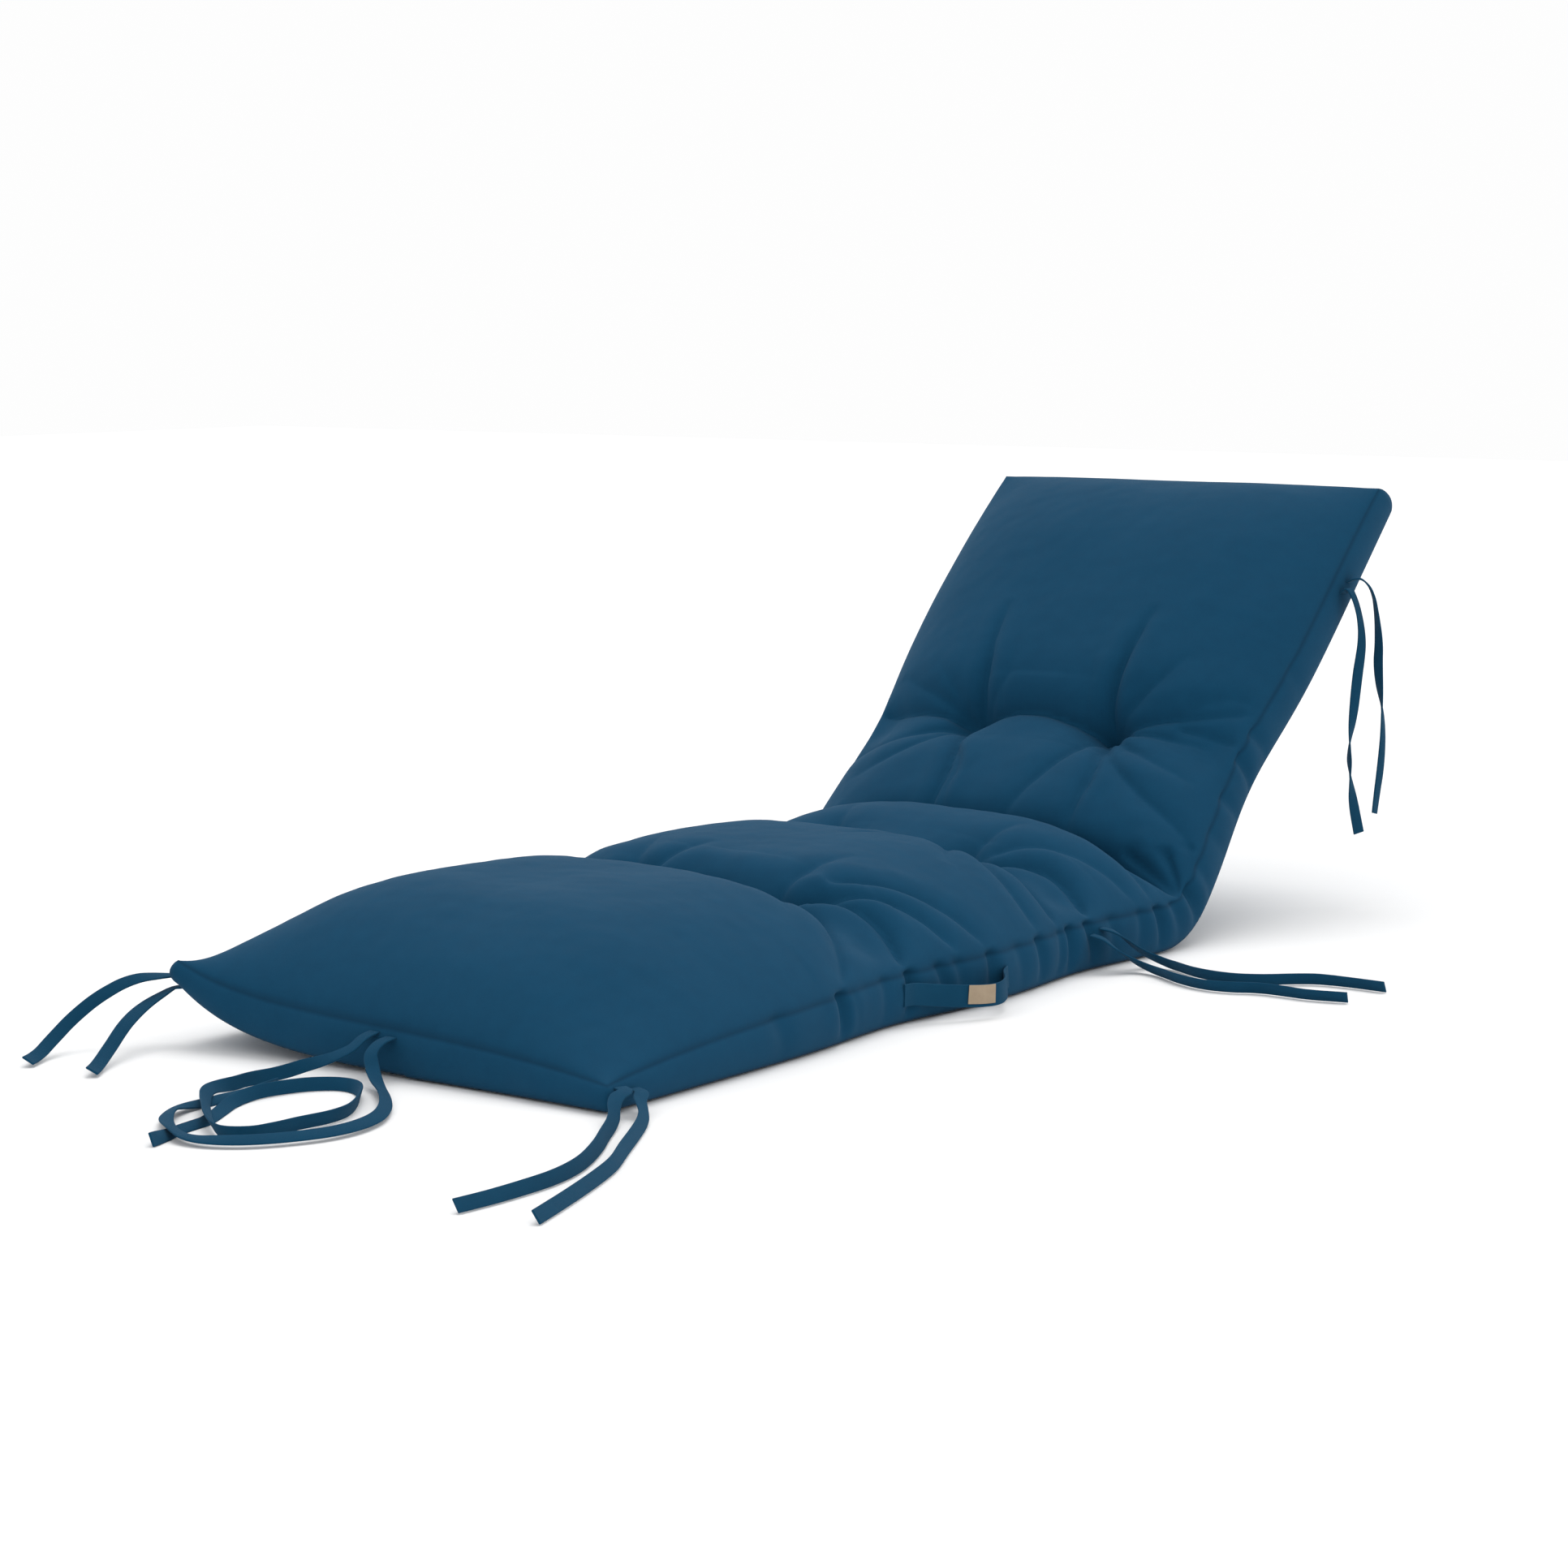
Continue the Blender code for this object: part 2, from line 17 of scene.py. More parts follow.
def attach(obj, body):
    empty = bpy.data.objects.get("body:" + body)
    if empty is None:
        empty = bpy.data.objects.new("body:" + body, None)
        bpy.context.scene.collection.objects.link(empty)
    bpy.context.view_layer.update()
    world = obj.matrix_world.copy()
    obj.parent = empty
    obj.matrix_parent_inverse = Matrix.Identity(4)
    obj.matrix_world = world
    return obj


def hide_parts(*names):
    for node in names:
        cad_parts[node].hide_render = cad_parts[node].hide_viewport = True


LOG = logging.getLogger("sun_lounger_cushion")
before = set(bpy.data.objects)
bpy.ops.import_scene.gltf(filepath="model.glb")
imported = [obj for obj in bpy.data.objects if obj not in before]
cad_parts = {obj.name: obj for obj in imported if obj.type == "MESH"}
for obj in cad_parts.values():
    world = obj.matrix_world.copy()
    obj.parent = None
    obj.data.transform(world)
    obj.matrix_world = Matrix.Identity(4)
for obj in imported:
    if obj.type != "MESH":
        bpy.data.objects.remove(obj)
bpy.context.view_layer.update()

Array = np.ndarray
Row = tuple[float, ...]
Line = tuple[tuple[float, float], ...]
Colour = tuple[float, float, float]

# Sizes repeated from the solids, in metres and radians
WIDTH = 0.600
SEAT_LENGTH = 1.170
BACK_LENGTH = 0.730
BACK_ANGLE = math.radians(43.7)
BEND_LENGTH = 0.100
NEUTRAL_HEIGHT = 0.058
CLEARANCE = 0.0003
LENGTH = SEAT_LENGTH + BACK_LENGTH
HALF_WIDTH = WIDTH / 2
ORIGIN_ALONG = SEAT_LENGTH / 2
BOXING_HEIGHT = 0.058
BOXING_LOW = 0.003
BOXING_BULGE = 0.006
LEFT_RISE = 0.014
LEFT_RISE_REACH = 0.220
CROWN = (
    (0.00, 0.120), (0.30, 0.122), (0.54, 0.116), (0.75, 0.114), (0.96, 0.108), (1.08, 0.110),
    (1.17, 0.100), (1.29, 0.086), (1.41, 0.086), (1.65, 0.088), (1.90, 0.084),
)
CROWN_POWER = 2.6
CROWN_ROUND = 0.75
SIDE_REACH = 0.270
END_REACH = 0.240
FOLD_REACH_SEAT = 0.095
FOLD_REACH_BACK = 0.120
REAR_CROWN = 0.034
TUFT_ROWS = (0.540, 0.955, 1.405)
TUFT_ACROSS = 0.103
TUFT_DEPTH = 0.044
TUFT_RADIUS = 0.040
ROW_DEPTH = 0.024
ROW_WIDTH = 0.052
DRAW_IN = 0.016
DRAW_LENGTH = 0.130
END_DRAW_IN = 0.010
FOOT_CORNERS = ((-1.0, 0.028, 0.090, 0.066, 0.085), (1.0, 0.030, 0.220, 0.000, 0.100))
HEAD_PINCH = 0.006
HEAD_PINCH_REACH = 0.080
TAPE_WIDTH = 0.0150
TAPE_THICKNESS = 0.0024
TAPE_STEP = 0.018
TAPE_STUB = 0.010
LAID_GAPS = 5
STRAP_WIDTH = 0.0260
STRAP_THICKNESS = 0.0024
STRAP_STEP = 0.009
STRAP_CENTRE = 0.650
TAG_WIDTH = 0.0220
TAG_THICKNESS = 0.0012
TAG_RAISED = 0.0020
TAG_SPAN = (0.380, 0.560)
TAG_GAP = 0.0008

# Beyond every distance on the cushion, and what counts as on a seam, on an end and on the floor
FAR = 1e3
ON_SEAM = 0.99999
ON_END = 1e-6
ON_FLOOR = 1e-7

# Parts between two points of a route, of a tie's tape and of the strap, and how round a tape's edges are
ROUTE_PARTS = 12
TAPE_PARTS = 4
STRAP_PARTS = 3
EDGE_ROUNDS = 2


@dataclass(frozen=True)
class Crease:
    """A crease of the cloth: its line across and along, depth, width and share of depth left at its end."""

    line: Line
    depth: float
    width: float
    tail: float = 0.0


def mirrored(creases: tuple[Crease, ...], scale: float) -> tuple[Crease, ...]:
    """Mirror creases to the other side, with their depth scaled."""
    return tuple(Crease(tuple((-x, y) for x, y in c.line), c.depth * scale, c.width, c.tail) for c in creases)


SEAT_RIGHT = (
    Crease(((0.103, 0.545), (0.150, 0.570), (0.202, 0.610), (0.240, 0.640), (0.284, 0.664)),
           0.012, 0.009, 0.5),
    Crease(((0.150, 0.598), (0.219, 0.668), (0.260, 0.702), (0.296, 0.722)), 0.009, 0.010, 0.5),
    Crease(((0.108, 0.545), (0.176, 0.578), (0.226, 0.588), (0.258, 0.580), (0.286, 0.562)),
           0.012, 0.009, 0.6),
    Crease(((0.110, 0.535), (0.164, 0.536), (0.215, 0.515), (0.267, 0.463), (0.294, 0.428)),
           0.009, 0.011, 0.9),
    Crease(((0.110, 0.530), (0.160, 0.495), (0.200, 0.455), (0.225, 0.415)), 0.005, 0.013),
    Crease(((0.103, 0.550), (0.112, 0.590), (0.122, 0.645), (0.130, 0.690)), 0.007, 0.010),
    Crease(((0.103, 0.955), (0.143, 0.968), (0.180, 0.985), (0.215, 0.995), (0.250, 0.990), (0.284, 0.972)),
           0.013, 0.009, 0.5),
    Crease(((0.110, 0.950), (0.160, 0.945), (0.213, 0.925), (0.260, 0.905), (0.292, 0.890)),
           0.010, 0.010, 0.6),
    Crease(((0.110, 0.945), (0.160, 0.905), (0.214, 0.865), (0.260, 0.845), (0.295, 0.840)),
           0.008, 0.010, 0.5),
    Crease(((0.105, 0.940), (0.135, 0.880), (0.165, 0.830), (0.195, 0.795)), 0.007, 0.011),
    Crease(((0.103, 0.965), (0.115, 1.020), (0.130, 1.070)), 0.006, 0.010),
    Crease(((0.103, 0.955), (0.075, 0.900), (0.050, 0.850), (0.030, 0.800)), 0.007, 0.010),
    Crease(((0.120, 0.975), (0.180, 1.030), (0.240, 1.060), (0.290, 1.075)), 0.006, 0.011, 0.6),
)
SEAT_LEFT = (
    Crease(((-0.103, 0.545), (-0.160, 0.560), (-0.220, 0.595), (-0.286, 0.620)), 0.011, 0.012, 0.5),
    Crease(((-0.103, 0.540), (-0.170, 0.530), (-0.230, 0.510), (-0.290, 0.500)), 0.008, 0.012, 0.4),
    Crease(((-0.103, 0.550), (-0.070, 0.590), (-0.046, 0.650)), 0.007, 0.010),
    Crease(((-0.103, 0.550), (-0.120, 0.610), (-0.140, 0.670)), 0.006, 0.011),
    Crease(((-0.103, 0.530), (-0.140, 0.480), (-0.170, 0.440)), 0.005, 0.012),
    Crease(((-0.103, 0.955), (-0.100, 0.890), (-0.085, 0.830)), 0.006, 0.010),
    Crease(((-0.103, 0.955), (-0.150, 0.900), (-0.190, 0.860)), 0.006, 0.011),
    Crease(((-0.103, 0.955), (-0.170, 0.965), (-0.230, 0.980), (-0.290, 0.985)), 0.010, 0.011, 0.5),
    Crease(((-0.103, 0.950), (-0.170, 0.940), (-0.230, 0.915), (-0.290, 0.900)), 0.008, 0.011, 0.4),
    Crease(((-0.103, 0.965), (-0.115, 1.020), (-0.130, 1.070)), 0.006, 0.010),
)
SEAT_MIDDLE = (
    Crease(((-0.103, 0.545), (-0.050, 0.562), (0.000, 0.566), (0.050, 0.560), (0.103, 0.545)),
           0.011, 0.014, 1.0),
    Crease(((-0.103, 0.950), (-0.050, 0.936), (0.000, 0.930), (0.050, 0.936), (0.103, 0.950)),
           0.010, 0.013, 1.0),
)
BACK_UPPER = (
    Crease(((-0.103, 1.412), (-0.098, 1.465), (-0.107, 1.525), (-0.109, 1.585)), 0.010, 0.008),
    Crease(((-0.095, 1.415), (-0.071, 1.450), (-0.055, 1.472)), 0.005, 0.008),
    Crease(((-0.110, 1.412), (-0.161, 1.433), (-0.215, 1.455), (-0.255, 1.478)), 0.009, 0.010),
    Crease(((-0.118, 1.420), (-0.160, 1.458), (-0.193, 1.488)), 0.004, 0.009),
    Crease(((0.100, 1.410), (0.100, 1.443), (0.103, 1.480), (0.110, 1.540), (0.119, 1.590)), 0.013, 0.008),
    Crease(((0.108, 1.412), (0.143, 1.450), (0.169, 1.485), (0.190, 1.525)), 0.007, 0.010),
    Crease(((0.108, 1.409), (0.163, 1.423), (0.214, 1.440), (0.258, 1.460), (0.290, 1.478)),
           0.011, 0.009, 0.2),
    Crease(((0.205, 1.445), (0.240, 1.472), (0.270, 1.488), (0.292, 1.480)), 0.004, 0.010, 0.5),
)
BACK_LEVEL = (
    Crease(((-0.103, 1.408), (-0.057, 1.420), (0.000, 1.422), (0.050, 1.413), (0.103, 1.405)),
           0.013, 0.011, 1.0),
    Crease(((-0.110, 1.407), (-0.180, 1.415), (-0.251, 1.423), (-0.292, 1.430)), 0.011, 0.009, 0.4),
    Crease(((0.110, 1.405), (0.175, 1.403), (0.215, 1.402), (0.252, 1.407)), 0.010, 0.008),
    Crease(((0.200, 1.420), (0.249, 1.425), (0.288, 1.420)), 0.006, 0.009, 0.3),
)
BACK_LOWER = (
    Crease(((-0.110, 1.400), (-0.153, 1.376), (-0.220, 1.352), (-0.288, 1.340)), 0.007, 0.010, 0.3),
    Crease(((-0.110, 1.395), (-0.150, 1.340), (-0.200, 1.300), (-0.250, 1.280)), 0.006, 0.011),
    Crease(((-0.103, 1.395), (-0.092, 1.350), (-0.073, 1.298), (-0.069, 1.245), (-0.075, 1.205)),
           0.009, 0.008, 0.5),
    Crease(((-0.085, 1.340), (-0.058, 1.298), (-0.057, 1.252), (-0.050, 1.213)), 0.004, 0.007, 0.4),
    Crease(((0.112, 1.398), (0.150, 1.372), (0.206, 1.348), (0.262, 1.335)), 0.009, 0.010),
    Crease(((0.108, 1.392), (0.140, 1.345), (0.190, 1.300), (0.250, 1.270), (0.292, 1.245)),
           0.008, 0.012, 0.3),
    Crease(((0.098, 1.395), (0.084, 1.340), (0.066, 1.288), (0.050, 1.242), (0.040, 1.215)),
           0.008, 0.013, 0.3),
    Crease(((0.107, 1.392), (0.129, 1.343), (0.139, 1.300), (0.138, 1.258), (0.136, 1.215)),
           0.008, 0.007, 0.5),
)
HINGE = (
    Crease(((0.215, 1.208), (0.250, 1.192), (0.285, 1.178)), 0.010, 0.009, 0.8),
    Crease(((0.262, 1.228), (0.286, 1.192), (0.298, 1.172)), 0.011, 0.008, 0.9),
    Crease(((0.284, 1.252), (0.296, 1.212), (0.300, 1.188)), 0.006, 0.008, 0.9),
    Crease(((0.190, 1.130), (0.240, 1.125), (0.290, 1.110)), 0.007, 0.010, 0.7),
)
CREASES = (SEAT_RIGHT + SEAT_LEFT + SEAT_MIDDLE + BACK_UPPER + BACK_LEVEL + BACK_LOWER
           + HINGE + mirrored(HINGE, 0.8))

# Puckers of the long sides' boxing: along, depth, width
PUCKERS = (
    (0.300, 0.003, 0.016), (0.428, 0.010, 0.011), (0.455, 0.004, 0.009), (0.520, 0.004, 0.010),
    (0.570, 0.007, 0.009), (0.633, 0.005, 0.009), (0.664, 0.006, 0.010), (0.722, 0.007, 0.010),
    (0.790, 0.003, 0.012), (0.842, 0.006, 0.010), (0.892, 0.006, 0.009), (0.921, 0.008, 0.009),
    (0.972, 0.007, 0.009), (1.018, 0.007, 0.010), (1.075, 0.006, 0.010), (1.120, 0.007, 0.009),
    (1.155, 0.009, 0.009), (1.190, 0.009, 0.009), (1.225, 0.005, 0.010), (1.285, 0.004, 0.012),
    (1.345, 0.005, 0.010), (1.405, 0.006, 0.010), (1.455, 0.005, 0.010), (1.560, 0.003, 0.014),
)

# Root of each tape on the boxing: share across, along, level up the boxing, heading outwards, gap
ROOTS: dict[str, Row] = {
    "tie_foot_left_a": (-1.0, 0.014, 0.50, 180.0, 0.0028),
    "tie_foot_left_b": (-1.0, 0.014, 0.15, 180.0, 0.0006),
    "tie_foot_middle_a": (-0.06, 0.000, 0.85, 270.0, 0.0004),
    "tie_foot_middle_b": (0.02, 0.000, 0.80, 270.0, 0.0002),
    "tie_foot_right_a": (1.0, 0.014, 0.80, 0.0, 0.0022),
    "tie_foot_right_b": (1.0, 0.034, 0.60, 0.0, 0.0020),
    "tie_seat_right_a": (1.0, 0.990, 0.85, 0.0, 0.0018),
    "tie_seat_right_b": (1.0, 0.968, 0.75, 0.0, 0.0012),
    "tie_back_right_a": (1.0, 1.722, 0.60, 0.0, 0.0012),
    "tie_back_right_b": (1.0, 1.742, 0.60, 0.0, 0.0012),
}

# Route of each tape from its root to its free end: across, along the floor, height, lean in degrees
TIES: dict[str, tuple[Row, ...]] = {
    "tie_foot_left_a": (
        (-0.3340, -0.0310, 0.0760, 60), (-0.3560, -0.0600, 0.0600, 40), (-0.3700, -0.0880, 0.0390, 30),
        (-0.3700, -0.1200, 0.0200, 30), (-0.3610, -0.1500, 0.0090, 35), (-0.3480, -0.1780, 0.0072, 35),
    ),
    "tie_foot_left_b": (
        (-0.3170, -0.0300, 0.0500, 60), (-0.3030, -0.0760, 0.0370, 40), (-0.2860, -0.1180, 0.0190, 30),
        (-0.2700, -0.1500, 0.0090, 35), (-0.2540, -0.1750, 0.0072, 35),
    ),
    "tie_foot_middle_a": (
        (-0.0230, -0.0260, 0.0340, 88), (-0.0430, -0.0420, 0.0230, 75), (-0.0660, -0.0540, 0.0150, 50),
        (-0.0810, -0.0720, 0.0090, 30), (-0.0880, -0.0980, 0.0072, 30), (-0.0880, -0.1300, 0.0072, 30),
        (-0.0840, -0.1620, 0.0100, 62), (-0.0690, -0.1920, 0.0125, 74), (-0.0450, -0.2200, 0.0115, 65),
        (-0.0160, -0.2480, 0.0120, 60), (0.0130, -0.2750, 0.0120, 60), (0.0440, -0.2980, 0.0090, 45),
        (0.0690, -0.3040, 0.0072, 30), (0.0860, -0.2930, 0.0072, 30), (0.0930, -0.2660, 0.0072, 30),
        (0.0960, -0.2310, 0.0072, 30), (0.1010, -0.1980, 0.0072, 30), (0.0960, -0.1620, 0.0072, 30),
        (0.0720, -0.1200, 0.0072, 30), (0.0380, -0.0800, 0.0072, 40), (0.0080, -0.0680, 0.0072, 45),
        (-0.0170, -0.0840, 0.0072, 40), (-0.0310, -0.1120, 0.0072, 35), (-0.0390, -0.1500, 0.0072, 35),
        (-0.0340, -0.1900, 0.0060, 60), (-0.0170, -0.2290, 0.0030, 82), (-0.0010, -0.2640, 0.0026, 84),
        (0.0030, -0.2920, 0.0026, 84), (0.0080, -0.3180, 0.0026, 84), (0.0180, -0.3430, 0.0045, 65),
        (0.0280, -0.3680, 0.0072, 38),
    ),
    "tie_foot_middle_b": (
        (0.0060, -0.0250, 0.0340, 85), (0.0230, -0.0410, 0.0170, 60), (0.0510, -0.0620, 0.0072, 35),
        (0.0850, -0.0930, 0.0072, 30), (0.1160, -0.1280, 0.0072, 30), (0.1390, -0.1660, 0.0072, 30),
        (0.1490, -0.2050, 0.0072, 30), (0.1470, -0.2420, 0.0072, 30), (0.1330, -0.2770, 0.0072, 30),
        (0.1110, -0.3100, 0.0072, 30), (0.0820, -0.3320, 0.0072, 35), (0.0480, -0.3390, 0.0076, 55),
        (0.0120, -0.3240, 0.0092, 76), (-0.0230, -0.2970, 0.0080, 60), (-0.0480, -0.2660, 0.0072, 40),
        (-0.0590, -0.2340, 0.0040, 68), (-0.0600, -0.2000, 0.0026, 84), (-0.0590, -0.1660, 0.0045, 65),
        (-0.0600, -0.1330, 0.0072, 38), (-0.0640, -0.1000, 0.0072, 35),
    ),
    "tie_foot_right_a": (
        (0.3230, -0.0160, 0.0220, 70), (0.3430, -0.0440, 0.0110, 45), (0.3680, -0.0880, 0.0072, 35),
        (0.4000, -0.1430, 0.0072, 35), (0.4290, -0.2040, 0.0072, 30), (0.4430, -0.2580, 0.0072, 30),
        (0.4460, -0.3100, 0.0072, 30), (0.4440, -0.3570, 0.0072, 35), (0.4400, -0.3970, 0.0072, 35),
    ),
    "tie_foot_right_b": (
        (0.3320, 0.0130, 0.0190, 70), (0.3590, -0.0160, 0.0100, 45), (0.3910, -0.0700, 0.0072, 35),
        (0.4240, -0.1310, 0.0072, 35), (0.4560, -0.1890, 0.0072, 30), (0.4800, -0.2490, 0.0072, 30),
        (0.5050, -0.3220, 0.0072, 30), (0.5250, -0.3870, 0.0072, 35),
    ),
    "tie_seat_right_a": (
        (0.3140, 1.0050, 0.0400, 75), (0.3270, 1.0280, 0.0210, 55), (0.3560, 1.0380, 0.0085, 40),
        (0.4150, 1.0060, 0.0072, 35), (0.4640, 0.9980, 0.0072, 35), (0.5000, 1.0080, 0.0072, 30),
        (0.5280, 1.0320, 0.0072, 30), (0.5540, 1.0500, 0.0072, 30), (0.5920, 1.0550, 0.0072, 35),
        (0.6430, 1.0520, 0.0072, 35),
    ),
    "tie_seat_right_b": (
        (0.3180, 0.9800, 0.0300, 75), (0.3380, 0.9970, 0.0130, 50), (0.3690, 0.9880, 0.0075, 40),
        (0.4140, 0.9590, 0.0072, 35), (0.4580, 0.9420, 0.0072, 35), (0.4950, 0.9450, 0.0072, 30),
        (0.5230, 0.9580, 0.0072, 30), (0.5540, 0.9590, 0.0072, 30), (0.5900, 0.9570, 0.0072, 35),
        (0.6370, 0.9670, 0.0072, 35),
    ),
    "tie_back_right_a": (
        (0.3190, 1.5800, 0.4330, 90), (0.3260, 1.5870, 0.4140, 90), (0.3260, 1.6020, 0.3840, 100),
        (0.3260, 1.6060, 0.3540, 120), (0.3260, 1.5960, 0.3140, 135), (0.3260, 1.5860, 0.2650, 120),
        (0.3260, 1.5780, 0.2310, 80), (0.3260, 1.5770, 0.2030, 50), (0.3260, 1.5820, 0.1740, 80),
        (0.3260, 1.5920, 0.1410, 125), (0.3260, 1.6090, 0.1000, 140),
    ),
    "tie_back_right_b": (
        (0.3260, 1.6050, 0.4450, 90), (0.3360, 1.6160, 0.4240, 90), (0.3380, 1.6260, 0.3920, 80),
        (0.3380, 1.6330, 0.3580, 60), (0.3380, 1.6330, 0.3270, 50), (0.3380, 1.6390, 0.2940, 70),
        (0.3380, 1.6480, 0.2620, 110), (0.3380, 1.6510, 0.2270, 130), (0.3380, 1.6460, 0.1860, 140),
        (0.3380, 1.6370, 0.1510, 135), (0.3380, 1.6310, 0.1250, 130),
    ),
}

# Route of the strap: out from the boxing, along from the strap's centre, height
STRAP_ROUTE = (
    (0.0020, -0.098, 0.036), (0.0030, -0.078, 0.035), (0.0120, -0.052, 0.031), (0.0270, -0.026, 0.028),
    (0.0400, 0.002, 0.026), (0.0420, 0.026, 0.026), (0.0300, 0.054, 0.027), (0.0120, 0.078, 0.029),
    (0.0020, 0.100, 0.030),
)


def smooth_step(value: Array) -> Array:
    """Ease from 0 to 1 while value goes from 0 to 1."""
    t = np.clip(value, 0.0, 1.0)
    return t * t * (3.0 - 2.0 * t)


def bell(distance: Array, width: float) -> Array:
    """Bell curve: 1 at distance 0, fading over the width."""
    return np.exp(-(distance / width) ** 2)


def pillow(distance: Array, reach: float) -> Array:
    """Rise of filled cloth from its seam: 0 on the seam, 1 from the reach inwards."""
    t = np.clip(distance / reach, 0.0, 1.0)
    return (1.0 - (1.0 - t) ** CROWN_POWER) ** CROWN_ROUND


def table_values(rows: tuple[Row, ...], position: Array) -> Array:
    """Values of a two-column table at many positions, eased from row to row.

    Args:
        rows: pairs of position and value, in order.
        position: where to read the table.

    Returns:
        The value at each position.
    """
    value = np.full_like(position, rows[0][1])
    for (low, low_value), (high, high_value) in zip(rows, rows[1:]):
        share = smooth_step((position - low) / (high - low))
        value = np.where(position > low, low_value + (high_value - low_value) * share, value)
    return value


def line_distance(across: Array, along: Array, line: Line) -> tuple[Array, Array]:
    """Distance of points from a line, and the share of the line's length where they are nearest.

    Args:
        across: places across the panel.
        along: places along the panel.
        line: points of the line, in order.

    Returns:
        The signed distance of each point, and its share from 0 to 1.
    """
    lengths = [math.dist(a, b) for a, b in zip(line, line[1:])]
    total = sum(lengths)
    best = np.full_like(across, FAR)
    signed = np.full_like(across, FAR)
    share = np.zeros_like(across)
    done = 0.0
    for (x0, y0), (x1, y1), length in zip(line, line[1:], lengths):
        ux, uy = (x1 - x0) / length, (y1 - y0) / length
        run = np.clip((across - x0) * ux + (along - y0) * uy, 0.0, length)
        gap_x, gap_y = across - x0 - run * ux, along - y0 - run * uy
        gap = np.hypot(gap_x, gap_y)
        nearer = gap < best
        best = np.where(nearer, gap, best)
        signed = np.where(nearer, np.where(gap_x * uy - gap_y * ux < 0.0, -gap, gap), signed)
        share = np.where(nearer, (done + run) / total, share)
        done += length
    return signed, share


def rounded(line: Line, rounds: int = 2) -> Line:
    """Cut the corners of a line round, so that a crease curves instead of kinking.

    Args:
        line: places across and along, in order.
        rounds: how many times the corners are cut.

    Returns:
        The rounded line, its ends kept.
    """
    points = list(line)
    for _ in range(rounds):
        cut = [points[0]]
        for (x0, y0), (x1, y1) in zip(points, points[1:]):
            cut.append((0.75 * x0 + 0.25 * x1, 0.75 * y0 + 0.25 * y1))
            cut.append((0.25 * x0 + 0.75 * x1, 0.25 * y0 + 0.75 * y1))
        points = cut + [points[-1]]
    return tuple(points)


